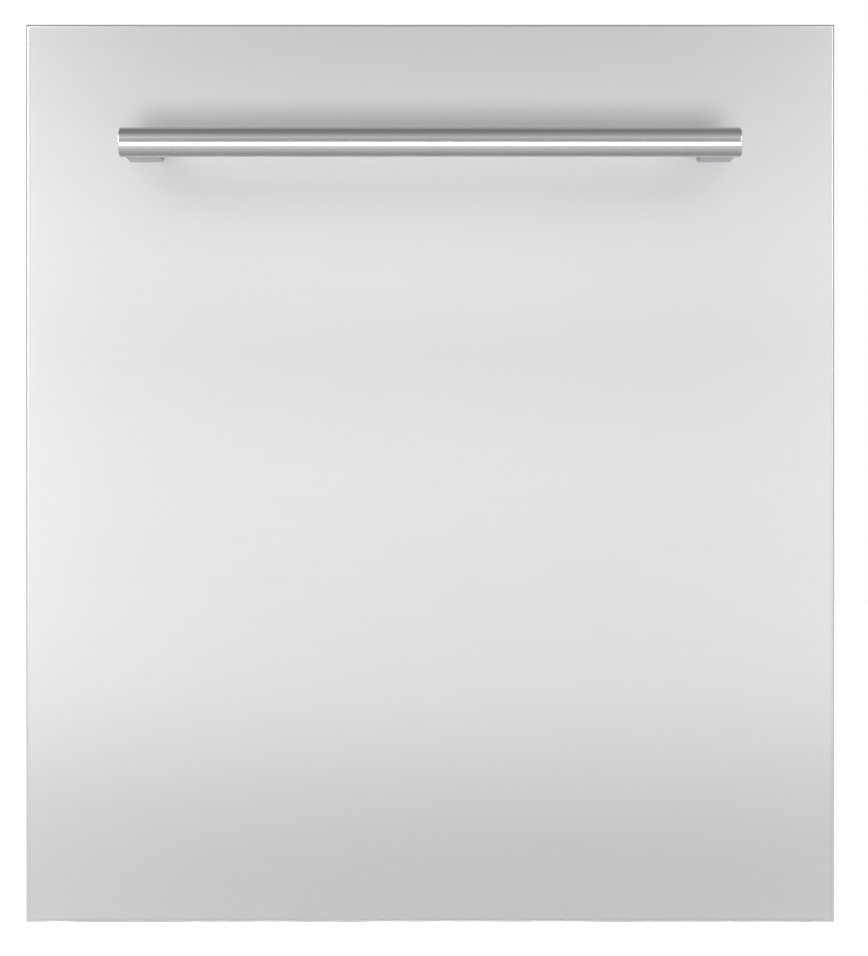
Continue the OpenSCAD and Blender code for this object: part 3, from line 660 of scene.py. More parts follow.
def make_tub():
    """Drawn steel tub: rounded corners, pressed fields in the walls and a flat flange round its mouth."""
    front, back, floor_z, roof_z, half = -190, 285, 190, 790, 272
    corners = [((240, floor_z), 3), ((240, 198), 2), ((half, 198), 5), ((half, roof_z), 22),
               ((-half, roof_z), 22), ((-half, 198), 5), ((-240, 198), 2), ((-240, floor_z), 3)]
    fields = [(48, 345, 150, 11, 3), (48, 395, 150, 11, 3), (48, 610, 165, 14, 3), (48, 655, 165, 14, 3),
              (-150, 560, 8, 130, 2.5)]
    outline = []
    for i, (p, r) in enumerate(corners):
        nxt, rn = corners[(i + 1) % len(corners)]
        p, nxt = Vector(p), Vector(nxt)
        outline += rounded(p, Vector(corners[i - 1][0]), nxt, r, 5)
        b, c = outline[-1], nxt + (p - nxt).normalized() * min(rn, (p - nxt).length * 0.49)
        if abs(b.x) > half - 1 and abs(c.x) > half - 1 and abs(b.y - c.y) > 50:
            zs = lines(min(b.y, c.y), max(b.y, c.y), 24, fields, 1)[1:-1]
            outline += [Vector((b.x, z)) for z in (zs if c.y > b.y else reversed(zs))]
        else:
            m = max(1, round((c - b).length / 30))
            outline += [b.lerp(c, k / m) for k in range(1, m)]
    bm = bmesh.new()
    edge, deep = 1.4, 14     # rounding of the mouth and of the back edge
    ys = lines(front + 4, back - deep, 24, fields, 0)

    def section(y, shrink=0.0):
        """The tub's outline at a depth, pressed where the fields are, or shrunk round the back edge."""
        ring = []
        for x, z in outline:
            on_wall = abs(abs(x) - half) < 0.01 and 205 < z < 765
            d = pressing(y, z, fields) if on_wall else 0
            if shrink:
                x = copysign(min(abs(x), half - shrink), x)
                z = min(max(z, floor_z + shrink), roof_z - shrink)
            ring.append(bm.verts.new((x + copysign(d, x), y, z)))
        return ring

    def flange(y):
        """The outline thrown out to the flange's edge, which steps in below z 215."""
        middle, ring = Vector((0, 490)), []
        for p in outline:
            d = p - middle
            q = middle + d * min(w / abs(v) if abs(v) > 1e-6 else 1e9 for w, v in ((295, d.x), (322, d.y)))
            if q.y < 214:
                q.x = max(-284, min(284, q.x))
            ring.append(bm.verts.new((q.x, y, q.y)))
        for s in (-1, 1):
            for x, z in ((s * 295, 812), (s * 284, 168), (s * 295, 215)):
                v = min(ring, key=lambda w: (w.co.x - x) ** 2 + (w.co.z - z) ** 2)
                v.co.x, v.co.z = x, z
        return ring
    outer, lip, mid = flange(front), section(front), section(front + edge)
    for v, w in zip(lip, outer):
        d = w.co - v.co
        v.co += d.normalized() * edge if d.length > edge else d * 0.5
    rings = [outer, lip, mid] + [section(y) for y in ys]
    for t in (pi / 2 * k / 5 for k in range(1, 6)):
        rings.append(section(back - deep + deep * sin(t), deep * (1 - cos(t))))
    skin(bm, rings, False, True)
    o = part("tub_shell", bm, "cabinet", "tub", "tub")
    thicken(o, 1.0, flip=not faces_to(o, 1, -1, (0, back, 500)))
    carve(o, lambda b: lathe(b, [(0, 170), (121, 170), (121, 196), (0, 196)], (0, 45, 0), UP, 96))
    bm = bmesh.new()
    # collar of the float and pressed frames on the back wall
    lathe(bm, [(6, 189.8), (10, 189.8), (10, 192.6), (9, 193.5), (6.4, 193.5), (6, 193)], (-205, -140, 0), UP,
          32, True)
    for s in (-1, 1):
        ribbon(bm, rounded_rect(s * 45, s * 235, 284.6, 235, 745, 30, 6), oval(6, 2.2, 12), True)
        ribbon(bm, rounded_rect(s * 80, s * 200, 284.6, 300, 400, 22, 6), oval(5, 1.8, 12), True)
    part("tub_beads", bm, "cabinet", "tub")


def make_side_panels():
    """Zinc sheets with pressed beads, flanges above and below, and screws."""
    fields = [(56, z, 190, 16, -4) for z in (200, 470, 740)]
    fields += [(y, z, 12, 90, -4) for z in (335, 605) for y in (-95, 210)]
    ys = lines(-189, 302, 30, fields, 0)
    zs = lines(60, 812, 30, fields, 1)
    bm = bmesh.new()
    for s in (-1, 1):
        first = len(bm.faces)
        pressed_sheet(bm, ys, zs, lambda y, z: (s * (295 + pressing(y, z, fields)), y, z))
        bm.faces.ensure_lookup_table()
        fs = list(bm.faces)[first:]
        bmesh.ops.recalc_face_normals(bm, faces=fs)
        if fs[0].normal.x * s < 0:
            bmesh.ops.reverse_faces(bm, faces=fs)
    thicken(part("side_sheets", bm, "cabinet", "zinc", "side_panels", turn_out=False), 0.8)
    bm = bmesh.new()
    for s in (-1, 1):
        for z, y, dx in ((60, -150, 7), (811.2, -189, 11.5)):
            block(bm, (s * 294.6, y, z), (s * (294.6 - dx), 301.5, z + 0.8), 0.2, 1)
        for y in (-178, 290):
            for z in (90, 330, 580, 795):
                screw_head(bm, (s * 295, y, z), (s, 0, 0))
        for y in (-60, 60, 180):
            screw_head(bm, (s * 295, y, 795), (s, 0, 0))
    part("side_screws", bm, "cabinet", "zinc")


def make_rear_panel():
    """Zinc sheet with pressed beads, three rimmed holes, screws and the two water connections."""
    fields = [(0, z, 172, 8, 2.6) for z in (252.5, 652.5, 450)]
    fields += [(x, 450, 8, 230, 2.6) for x in (-225, 225)]
    openings = ((200, 80, 20), (-150, 75, 17), (110, 75, 12.1))
    bm = bmesh.new()
    pressed_sheet(bm, lines(-295, 295, 30, fields, 0), lines(50, 812, 30, fields, 1),
                  lambda x, z: (x, 302.8 + pressing(x, z, fields), z))
    o = part("rear_sheet", bm, "cabinet", "zinc", "rear_panel")
    thicken(o, 0.8, flip=not faces_to(o, 1, 1, (0, 302.8, 560)))

    def holes(b):
        for x, z, r in openings:
            lathe(b, [(0, 290), (r, 290), (r, 312), (0, 312)], (x, 0, z), BACK, 48)
    carve(o, holes)
    bm = bmesh.new()
    for x in (-280, -140, 0, 140, 280):
        for z in (62, 800):
            screw_head(bm, (x, 302.8, z), BACK)
    for s in (-1, 1):
        for z in (200, 330, 570, 700):
            screw_head(bm, (s * 284, 302.8, z), BACK)
    part("rear_screws", bm, "cabinet", "zinc")
    bm = bmesh.new()
    for x, z, r in openings:
        circle = [(x + (r - 0.4) * cos(a), 302.4, z + (r - 0.4) * sin(a)) for a in turn(48)]
        ribbon(bm, circle, oval(1.6, 1.7, 12), True)
    part("grommets", bm, "cabinet", "rubber")
    # thread of the water connection and ridges of the drain spigot
    bm = bmesh.new()
    prof = [(12.6, 296)]
    for k in range(9):
        y = 297 + k * 1.9
        prof += [(13.05, y), (13.6, y + 0.6), (13.6, y + 0.95), (13.05, y + 1.5)]
    prof += [(13.05, 314.4), (12.4, 314.95), (9.2, 314.95), (9.2, 296)]
    lathe(bm, prof, (200, 0, 80), BACK, 48, True)
    part("inlet_thread", bm, "cabinet", "pale")
    bm = bmesh.new()
    prof = [(8.4, 291)]
    for y in (293, 298.5, 304, 309.5):
        prof += [(10.1, y), (10.2, y + 3.6), (10.95, y + 4.6), (10.95, y + 5.1)]
    prof += [(10.1, 314.95), (8.4, 314.95)]
    lathe(bm, prof, (-150, 0, 75), BACK, 48, True)
    part("drain_ridges", bm, "cabinet", "grey")


def make_top_cover():
    """Zinc sheet with beads and two sunk fields, its edges folded down, and screws."""
    fields = [(x, 65, 6, 175, 1.9) for x in (-180, 0, 180)] + [(x, 65, 60, 120, -1.5) for x in (-90, 90)]

    def deep(x, y):
        hit = [d * hollow(x, cx, hx, 5) * hollow(y, cy, hy, 5) for cx, cy, hx, hy, d in fields]
        return max(hit) + min(0, min(hit))
    bm = bmesh.new()
    xs = lines(-294.3, 294.3, 30, fields, 0)
    ys = lines(-189, 302.1, 30, fields, 1)
    grid = pressed_sheet(bm, xs, ys, lambda x, y: (x, y, 813 + deep(x, y)))
    # folded down at both sides and the back with a 1.5 mm bend
    edge = [row[0] for row in grid] + grid[-1][1:-1] + [row[-1] for row in reversed(grid)]
    loops = [edge]
    for k in range(1, 5):
        t = pi / 2 * min(k, 3) / 3
        out, down = 1.5 * sin(t), 1.5 * (1 - cos(t)) + (15.5 if k == 4 else 0)
        loops.append([bm.verts.new((v.co.x + (copysign(out, v.co.x) if abs(v.co.x) > 294 else 0),
                                    v.co.y + (out if v.co.y > 302 else 0), 813 - down)) for v in edge])
    skin(bm, loops, closed=False)
    o = part("top_sheet", bm, "cabinet", "zinc", "top_cover")
    thicken(o, 0.8, flip=not faces_to(o, 2, 1, (250, 0, 813)))
    bm = bmesh.new()
    for x in (-250, -100, 100, 250):
        screw_head(bm, (x, -178, 813), UP)
    part("top_screws", bm, "cabinet", "zinc")


# ------------------------------------------------------------------ door inside

def make_door_liner():
    """Pressed inner door: rolled edge, flat border for the seal, and a field set 3 mm in."""
    bm = bmesh.new()
    half, z0, z1, y = 284, 170, 812, -195
    rings = []

    def at(inset, depth, radius):
        path = rounded_rect(inset - half, half - inset, y - depth, z0 + inset, z1 - inset, radius, 5)
        rings.append(verts(bm, path))
    at(-13.6, 40, 1)
    at(0, 40, 5)
    for k in range(5):
        t = pi / 2 * k / 4
        at(3 - 3 * cos(t), 3 - 3 * sin(t), 5)
    at(27, 0, 18)
    for k in range(1, 5):
        t = pi * k / 4
        at(27 + 7 * k / 4, 1.5 - 1.5 * cos(t), 18)
    at(60, 3, 20)
    at(63, 3.6, 20)
    at(70, 3.6, 18)
    at(73, 3, 16)
    for v in rings[0]:
        v.co.z = max(154.6, min(783.9, v.co.z)) if abs(v.co.z) < 800 else 783.9
        v.co.x = max(-297.4, min(297.4, v.co.x))
    skin(bm, rings, False, True)
    o = part("door_inner", bm, "door", "tub", "door_liner")
    thicken(o, 0.9, flip=not faces_to(o, 1, 1, (200, -198, 400)))

    def mouths(b):
        block(b, (-118.4, -260, 416.6), (33.4, -180, 573.4))
        block(b, (-12, -260, 799), (12, -180, 809))
        block(b, (-300, -260, 784.4), (300, -196.3, 830))
    carve(o, mouths)


def make_strip_marks():
    """Raised marks beside the buttons and bars of the display."""
    y, z = -218, 818.4
    bm = bmesh.new()

    def plate(points):
        skin(bm, [[bm.verts.new((u, v, h)) for u, v in points] for h in (z, z + 0.2)], True, True)

    def rect(u0, v0, u1, v1):
        plate([(u0, y + v0), (u1, y + v0), (u1, y + v1), (u0, y + v1)])
    arc = [radians(120 + 300 * k / 24) for k in range(25)]
    plate([(-239 + r * cos(a), y + r * sin(a)) for r, way in ((3.4, arc), (2.8, arc[::-1])) for a in way])
    rect(-239.3, 1.2, -238.7, 4.2)
    for k, n in enumerate((6, 4.5, 3)):
        rect(-153, -2.6 + k * 2.2, -153 + n, -2.0 + k * 2.2)
    drop = ((0, 3.6), (-1.9, 0.2), (-2.2, -1.2), (-1.4, -2.6),
            (0, -3.2), (1.4, -2.6), (2.2, -1.2), (1.9, 0.2))
    plate([(-108 + u, y + v) for u, v in drop])
    plate([(238, y - 3), (243, y), (238, y + 3)])
    for x in (30, 40, 50, 60):
        lathe(bm, [(0, z), (0.9, z), (0.9, z + 0.2), (0, z + 0.2)], (x, y, 0), UP, 16)
    part("strip_marks", bm, "door", "pale")
    bm = bmesh.new()
    for x in (-46, -34, -18, -6):
        for v0, v1 in ((-4.6, -3.9), (-0.35, 0.35), (3.9, 4.6)):
            rect(x - 2.6, v0, x + 2.6, v1)
        for u in (-3.2, 3.2):
            for v0, v1 in ((-3.6, -0.6), (0.6, 3.6)):
                rect(x + u - 0.35, v0, x + u + 0.35, v1)
    for v in (-1.9, 1.9):
        lathe(bm, [(0, z), (0.6, z), (0.6, z + 0.2), (0, z + 0.2)], (-26, y + v, 0), UP, 12)
    part("display_bars", bm, "door", "segments")


def make_gaskets():
    """Seal round the tub's mouth and the lip along its sill."""
    bm = bmesh.new()
    x, y, low, high = 278.5, -192.4, 190.5, 795
    path = filleted([(-x, y, low), (-x, y, high), (x, y, high), (x, y, low)], 26, False, 8)
    ribbon(bm, path, oval(4.4, 2.25, 16))
    ribbon(bm, path, [(u * 0.6, v * 0.5 + 1.6) for u, v in oval(4.4, 1.6, 8)])
    part("door_seal", bm, "cabinet", "rubber", "door_gasket")
    bm = bmesh.new()
    lip = [(-7, 1.9), (-7, -0.5), (-3, -0.7), (-2.5, -3.6), (-0.5, -4.6), (1.8, -3.6), (2.2, -0.7),
           (5.9, -0.5), (5.9, 1.9)]
    ribbon(bm, [(x, -192, 178) for x in (-271.5, -200, 0, 200, 271.5)], [(-u, v) for u, v in reversed(lip)])
    part("sill_seal", bm, "cabinet", "rubber", "bottom_seal")


def make_dispenser():
    """Face with a rolled rim, its case, track, lid and the cap of the rinse aid."""
    y = -195
    bm = bmesh.new()
    sections = ((-1.5, 3.2, 9), (0, 2.6, 10), (0.4, -1.2, 10), (-1.2, -3, 9), (-4.5, -3, 7), (-6, -2.2, 6))
    skin(bm, [verts(bm, rounded_rect(-125 - grow, 40 + grow, y - depth, 410 - grow, 580 + grow, r, 5))
              for grow, depth, r in sections], True, True)
    face = part("dispenser_face", bm, "door", "grey", "dispenser_body")
    bm = bmesh.new()
    block(bm, (-118, -220, 417), (33, -197, 573), 1.2, 2)
    case = part("dispenser_case", bm, "door", "grey")

    def pockets(b):
        block(b, (-110, y + 0.4, 425), (-30, y + 9, 565))
        block(b, (-104, -214, 432), (-36, y + 9, 498))
        lathe(b, [(0, -212), (17, -212), (17, -185), (0, -185)], (5, 0, 470), BACK, 48)
    carve(face, pockets)
    carve(case, pockets)
    bm = bmesh.new()
    for x in (-111.2, -28.8):
        block(bm, (x - 1.2, y + 0.4, 425), (x + 1.2, y + 3.0, 565), 0.5)
    for k in range(5):
        block(bm, (-22, y + 2.0, 424 + k * 3.4), (30, y + 3.0, 425.4 + k * 3.4), 0.4)
    lathe(bm, [(17.1, 1.6), (19.5, 1.6), (19.5, 2.8), (18.9, 3), (17.5, 3), (17.1, 2.7)], (5, y, 470), BACK,
          48, True)
    for px, pz in ((-119, 416), (34, 416), (-119, 574), (34, 574)):
        screw_head(bm, (px, y + 1.9, pz), BACK, 3.0, 1.2)
    part("dispenser_trim", bm, "door", "grey")
    bm = bmesh.new()
    block(bm, (-109.6, y + 0.6, 427), (-30.4, y + 2.4, 503), 0.8, 3)
    block(bm, (-90, y + 2.0, 432), (-50, y + 4.4, 437), 1.1, 3)
    for k in range(4):
        block(bm, (-84, y + 2.0, 446 + k * 5), (-56, y + 3.1, 447.6 + k * 5), 0.5)
    ribbon(bm, rounded_rect(-104, -36, y + 2.3, 441, 498, 6), oval(1.0, 0.7, 8), True)
    part("detergent_lid", bm, "dispenser_lid", "pale", "dispenser_lid")
    bm = bmesh.new()
    lathe(bm, [(0, -16), (9, -16), (9, -2), (16.6, -1), (16.6, 1.4), (15.6, 2.6), (12, 2.6), (11, 1.8),
               (0, 1.8)], (5, y, 470), BACK, 48)
    block(bm, (-7, y + 1.2, 467.5), (17, y + 5.5, 472.5), 1.6, 3)
    for a in turn(24):
        u, v = 5 + 16.1 * cos(a), 470 + 16.1 * sin(a)
        rod(bm, (u, y - 0.4, v), (u, y + 1.5, v), 0.5, 8, 0.1)
    part("rinse_cap", bm, "rinse_aid_cap", "dark", "rinse_aid_cap")


# ------------------------------------------------------------------ racks

WIRE = 1.75      # radius of the coated wire


def rim(xs, yf, yb, z):
    """Corners of a level rectangle, symmetric about x = 0."""
    return [(-xs, yf, z), (xs, yf, z), (xs, yb, z), (-xs, yb, z)]


def spaced(first, length, n):
    """n evenly spaced values."""
    return [first + length * k / (n - 1) for k in range(n)]


def cage(bm, xs, yf, yb, z0, top, bands, x_wires, y_wires, low, front):
    """Basket of round wire: rim, bands, and wires that run down the walls and under the load. front lists
    (y, z) of the corners where the lengthwise wires turn from the front wall to the floor."""
    tip = top - 2
    wires(bm, [rim(xs, yf, yb, top - 2.2)], 2.2, 22, True)
    wires(bm, [rim(xs, yf, yb, z) for z in bands], WIRE, 22, True)
    side = [(yf + 0.6, tip), *front, (yb - 0.6, z0 + WIRE), (yb - 0.6, tip)]
    wires(bm, [[(x, y, z) for y, z in side] for x in x_wires], WIRE, 9)
    across = [(-xs + 0.6, tip), (-xs + 0.6, low), (xs - 0.6, low), (xs - 0.6, tip)]
    wires(bm, [[(x, y, z) for x, z in across] for y in y_wires], WIRE, 9)


def make_lower_basket():
    """Lower basket: cage, fixed tines, axle blocks and grip."""
    bm = bmesh.new()
    yf, z0 = -160.3, 242
    cage(bm, 241.4, yf, 267.4, z0, 398, (352, 304), spaced(-222, 444, 13), spaced(-128, 380, 10), z0 + 3.2,
         ((yf + 0.6, z0 + 26), (-143, z0 + WIRE)))
    # fixed tines, each a bent wire rooted in a cross wire
    for i in range(5):
        y = -96.8 + i * 78
        tube(bm, [(-222, y, 247), (-16, y, 247)], WIRE)
        for k in range(9):
            x = -218 + k * 24.5
            tube(bm, filleted([(x, y + 5, 246.6), (x, y, 250), (x, y - 1.5, 316.5)], 4), WIRE)
    part("lower_wires", bm, "lower_basket", "wire", "lower_basket", sharp=60)
    bm = bmesh.new()
    for y in (-25, 225):
        for s in (-1, 1):
            block(bm, (s * 239, y - 11, 208), (s * 247.4, y + 11, 281), 2.5, 3)
            for x0, x1, thick, steps in ((246, 249.8, 7, 28), (246, 264.3, 4, 24), (262.3, 264.3, 5.6, 24)):
                rod(bm, (s * x0, y, 216.5), (s * x1, y, 216.5), thick, steps)
    # grip on the front rim
    y = yf + 0.9
    wires(bm, [[(-62, y, 394), (62, y, 394), (62, y, 366), (-62, y, 366)]], 2.9, 12, True, 12)
    block(bm, (-50, yf - 1.6, 363), (50, yf + 4, 369), 2.2, 3)
    part("lower_fittings", bm, "lower_basket", "grey")


def make_folding_tines():
    """Hinged row of tines on its rod, and the clips that hold the rod."""
    bm = bmesh.new()
    rod(bm, (14.2, 0, 249.5), (225.8, 0, 249.5), 2, 12)
    for k in range(9):
        x = 21.8 + k * 24.55
        tube(bm, filleted([(x, 0, 249.4), (x, 0, 280), (x, 0, 322.2)], 3), WIRE)
    for x in (15.9, 107.7, 224.1):
        rod(bm, (x - 1.7, 0, 249.5), (x + 1.7, 0, 249.5), 2.0, 12)
    part("hinged_tines", bm, "folding_tines", "wire", "folding_tines", sharp=60)
    bm = bmesh.new()
    for x in (34.1, 107.7, 205.9):
        for dy in (-4.4, 4.4):
            block(bm, (x - 4, dy - 1.2, 243.4), (x + 4, dy + 1.2, 251.6), 0.8)
    part("tine_clips", bm, "lower_basket", "grey")


def make_upper_basket():
    """Upper basket: cage, tines, runners with rollers and the pipe to its spray arm."""
    bm = bmesh.new()
    yf, z0 = -172.3, 450
    cage(bm, 245.3, yf, 263.3, z0, 588, (546, 504), spaced(-226, 452, 14), spaced(-158, 406, 11), z0 + 3.1,
         ((yf + 0.6, z0 + WIRE),))
    for x in (-138.2, -58.2, 61.8, 141.8):
        tube(bm, [(x, -133, 455), (x, 231, 455)], WIRE)
        for k in range(11):
            y = -129 + k * 35.6
            tube(bm, filleted([(x, y, 455), (x, y, 470), (x + 1.5, y, 503.6)], 3), WIRE)
    part("upper_wires", bm, "upper_basket", "wire", "upper_basket", sharp=60)
    bm = bmesh.new()
    roller = [(0, 0), (7.6, 0), (8.4, 1), (8.4, 4.6), (7.6, 5.6), (3, 5.6), (2.6, 6.4), (0, 6.4)]
    for s in (-1, 1):
        block(bm, (s * 247.7, -181, 474.2), (s * 250.7, 210, 497.8), 1.2, 2)
        for z in (477.7, 494.3):
            block(bm, (s * 250.4, -180.5, z - 0.8), (s * 267.2, 209.5, z + 0.8), 0.5)
        for y in (-150, -60, 40, 140, 196):
            lathe(bm, roller, (s * 260.4, y, 486), (s, 0, 0), 28)
            block(bm, (s * 250.4, y - 3, 483), (s * 261, y + 3, 489), 1)
    part("upper_runners", bm, "upper_basket", "pale")
    bm = bmesh.new()
    # pipe to the upper arm: depth and half axes of its sections, which end in a mouth
    sections = ((30.2, 6, 4), (33, 10, 6.6), (45, 10.9, 7.3), (90, 9.5, 6.6), (200, 9.0, 6.4),
                (250, 9.6, 6.8), (258, 10.9, 7.3), (267.8, 10.9, 7.3), (267.8, 8.6, 5.0), (252, 8.0, 4.6))
    flat_pipe(bm, sections, lambda u, v, y: (u, y, 442.5 + v), 24, 0.75)
    lathe(bm, [(0, 420), (8.2, 420), (9, 420.8), (9, 434), (10.6, 436.5), (0, 436.5)], (0, 45, 0), UP, 40)
    for y in (75, 150, 225):
        wires(bm, [[(-12, y, 452), (-12, y, 446), (12, y, 446), (12, y, 452)]], 1.4, 3)
    part("upper_pipe", bm, "upper_basket", "grey")


def flat_pipe(bm, sections, place, steps, power):
    """Closed pipe of oval sections (station, half axes); place(u, v, station) gives the point."""
    rings = [verts(bm, [place(u, v, at) for u, v in oval(a, b, steps, power)]) for at, a, b in sections]
    skin(bm, rings, True, True)


def make_cup_shelf():
    """Folding shelf of wire on its rod, and the clips that hold the rod."""
    bm = bmesh.new()
    z = 545
    border = [(-239, -117.5, z), (-148.2, -117.5, z), (-148.2, 137.5, z), (-239, 137.5, z)]
    wires(bm, [border], WIRE, 14, True)
    ys = [-96 + 25.4 * k for k in range(9)]
    wires(bm, [[(-240, y, z + 0.8), (-148.6, y, z + 0.8)] for y in ys], 1.4, 3)
    wires(bm, [[(x, -117.5, z - 0.4), (x, 137.5, z - 0.4)] for x in (-210, -178)], 1.4, 3)
    rod(bm, (-240, -125.8, z), (-240, 145.8, z), 2, 14)
    part("shelf_wires", bm, "cup_shelf", "wire", "cup_shelf", sharp=60)
    bm = bmesh.new()
    for y in (-121.5, 141):
        block(bm, (-245.5, y - 4, z - 4.4), (-242.4, y + 4, z + 6), 1)
        block(bm, (-246.6, y - 4, z - 5), (-236, y + 4, z - 2.8), 1)
    part("shelf_clips", bm, "upper_basket", "grey")


def make_cutlery_tray():
    """Moulded tray: ribbed floor, walls with a rolled rim, rows of notched holders and two grips."""
    bm = bmesh.new()
    hw, y0, y1, z0 = 251.4, -173.4, 256.4, 700
    wall = [(-1.2, 0.1), (1.2, 0.1), (1.2, 34), (1.6, 36.6), (1.6, 39.2), (0.6, 40), (-0.8, 40), (-1.6, 39.2),
            (-1.6, 36.6), (-1.2, 34)]
    ribbon(bm, filleted(rim(hw, y0, y1, z0), 14, True, 6), wall, True, UP)
    for x in spaced(-234, 468, 17):
        block(bm, (x - 1.3, y0, z0 + 0.1), (x + 1.3, y1, z0 + 3.0))
    for y in spaced(-158, 400, 15):
        block(bm, (-hw, y - 1.3, z0 + 0.1), (hw, y + 1.3, z0 + 2.6))
    for x0 in (-236, -84, 92):
        for y in (y2 + k * 19 for y2 in (-140, 75) for k in range(9)):
            for x in (x0, x0 + 118):
                block(bm, (x, y - 0.9, z0 + 2.6), (x + 22, y + 0.9, z0 + 4.8), 0.3)
                for t in (2.2, 19.8):
                    lathe(bm, [(0, 0), (2.2, 0), (1.2, 9.5), (0, 10)], (x + t, y, z0 + 4.6), UP, 8)
    part("tray_body", bm, "cutlery_tray", "tray", "cutlery_tray")
    bm = bmesh.new()
    roller = [(0, 0), (4.2, 0), (4.9, 0.8), (4.9, 4.4), (4.2, 5.2), (0, 5.2)]
    for s in (-1, 1):
        block(bm, (s * 253.4, -171.8, 708.2), (s * 257.2, 224.8, 723.8), 1, 2)
        for z in (710.6, 719.6):
            block(bm, (s * 257, -171.8, z), (s * 269.5, 224.8, z + 1.8), 0.5)
        for y in (-150, 0, 150, 210):
            lathe(bm, roller, (s * 264, y, 716), (s, 0, 0), 24)
            block(bm, (s * 257, y - 2, 714), (s * 265, y + 2, 718), 0.6)
    part("tray_runners", bm, "cutlery_tray", "pale")


def channels(name, body, node, x0, x1, y0, y1, z, half, t, lip, screws=(), head=(4.2, 1.4)):
    """A pair of channels open to the middle: web at x1, flanges back to x0, lips turned in, and screws."""
    web = x1 - t
    out = [(x0, half - lip), (x0, half - 0.5), (x0 + 0.5, half), (x1 - 1, half), (x1, half - 1),
           (x1, -half + 1), (x1 - 1, -half), (x0 + 0.5, -half), (x0, -half + 0.5), (x0, -half + lip),
           (x0 + t, -half + lip), (x0 + t, -half + t), (web, -half + t), (web, half - t),
           (x0 + t, half - t), (x0 + t, half - lip)]
    bm = bmesh.new()
    for s in (-1, 1):
        skin(bm, [[bm.verts.new((s * x, y, z + h)) for x, h in out] for y in (y0, y1)], True, True)
        for y in screws:
            screw_head(bm, (s * 270.2, y, z), (-s, 0, 0), *head)
    part(name, bm, body, "tub", node)


def make_rails():
    """Rolled steel channels with returned lips and end stops, and the sliding members between them."""
    channels("upper_rail_pair", "cabinet", "upper_rails",
             264.2, 271.9, -184.8, 224.8, 486, 13.9, 1.6, 4.4, (-150, 190))
    channels("upper_slide_pair", "upper_rail_slides", "upper_rail_slides",
             260.2, 269.6, -182.8, 214.8, 486, 11.6, 1.6, 2.1)
    channels("tray_rail_pair", "cabinet", "cutlery_rails",
             265.2, 271.9, -181.8, 234.8, 716, 7.9, 1.5, 1.9, (-140, 200), (3.6, 1.2))
    bm = bmesh.new()
    for s in (-1, 1):
        for z, h, ends in ((486, 14.4, (-187.4, 226)), (716, 8.4, (-187.4, 236))):
            for y in ends:
                block(bm, (s * 259, y - 1.6, z + h - 2), (s * 271.6, y + 1.6, z + h + 3), 0.8)
    part("rail_stops", bm, "cabinet", "grey")


# ------------------------------------------------------------------ water parts

def spray_arm(name, node, z, r, hub_r, bore, up, step):
    """Blown arm: swept blades with a crowned section, raised nozzles and a ribbed hub."""
    bm = bmesh.new()
    zc, count = z + 6, 5
    nozzle = [(1.5, 3.4), (2.1, 3.4), (2.1, 6.0), (4.2, 5.4), (4.6, 3.2), (3.6, 2.5), (1.5, 2.5)]
    rings = []
    for t in spaced(-1, 2, 61):
        x = r * copysign(1 - (1 - abs(t)) ** 1.15, t)
        edge = max(0.0, 1 - (abs(x) / r) ** 8) ** 0.5
        half = (18.5 - 6.5 * (abs(x) / r) ** 1.4) * max(edge, 0.04)
        tall = (5.8 - 1.9 * (abs(x) / r) ** 1.5) * max(edge, 0.06)
        sweep = 5.5 * sin(pi * x / r) * edge
        rings.append([bm.verts.new((x, 45 + sweep + u, zc + v - up * (5.8 - tall) * 0.4))
                      for u, v in oval(half, tall, 20, 0.7)])
    skin(bm, rings, True, True)
    lathe(bm, [(bore, -13.8), (hub_r - 1, -13.8), (hub_r, -13), (hub_r, 2), (hub_r * 0.82, 6.6),
               (hub_r * 0.55, 7.8), (0, 7.8), (0, 4.5), (bore, 4.5)], (0, 45, zc), (0, 0, up), 48, True)
    for k in range(8):
        a = pi / 4 * k + 0.2
        x, y = hub_r * 0.93 * cos(a), 45 + hub_r * 0.93 * sin(a)
        rod(bm, (x, y, zc - up * 12), (x, y, zc + up * 1.5), 1.1, 8, 0.2)
    for s in (-1, 1):
        for i in range(count):
            lathe(bm, nozzle, (s * (r - 22 - i * step), 45 + s * 6, zc), (0, 0, up), 20, True)
        block(bm, (s * 26, 44.4, zc - up * 6.0 - 0.4), (s * (r - 16), 45.6, zc - up * 6.0 + 0.9), 0.3)
    part(name, bm, node, "grey", node)


def make_wheels():
    """Basket wheels: hub, tyre and six spokes."""
    for node, y in (("front_wheels", -25), ("rear_wheels", 225)):
        bm = bmesh.new()
        for s in (-1, 1):
            o = (s * 250.1, y, 216.5)
            lathe(bm, [(4.1, 0), (6.6, 0), (6.6, 2), (6.4, 11.2), (4.1, 11.2)], o, (s, 0, 0), 40, True)
            lathe(bm, [(14.6, 0.4), (17.0, 0.2), (17.8, 1.2), (18, 2.6), (17.5, 5.6), (18, 8.8), (17.8, 10.4),
                       (17.0, 11.4), (14.8, 11.4), (14.2, 10.4), (14.2, 1.4)], o, (s, 0, 0), 56, True)
            for k in range(6):
                c, q = cos(pi / 3 * k), sin(pi / 3 * k)
                corners = ((6, -1.6), (14.6, -1.2), (14.6, 1.2), (6, 1.6))
                spoke = [(c * u - q * v, q * u + c * v) for u, v in corners]
                skin(bm, [[bm.verts.new((s * (250.1 + x), y + u, 216.5 + v)) for u, v in spoke]
                          for x in (2.2, 8.6)], True, True)
        part(node.replace("_", "_roller_"), bm, node, "grey", node)


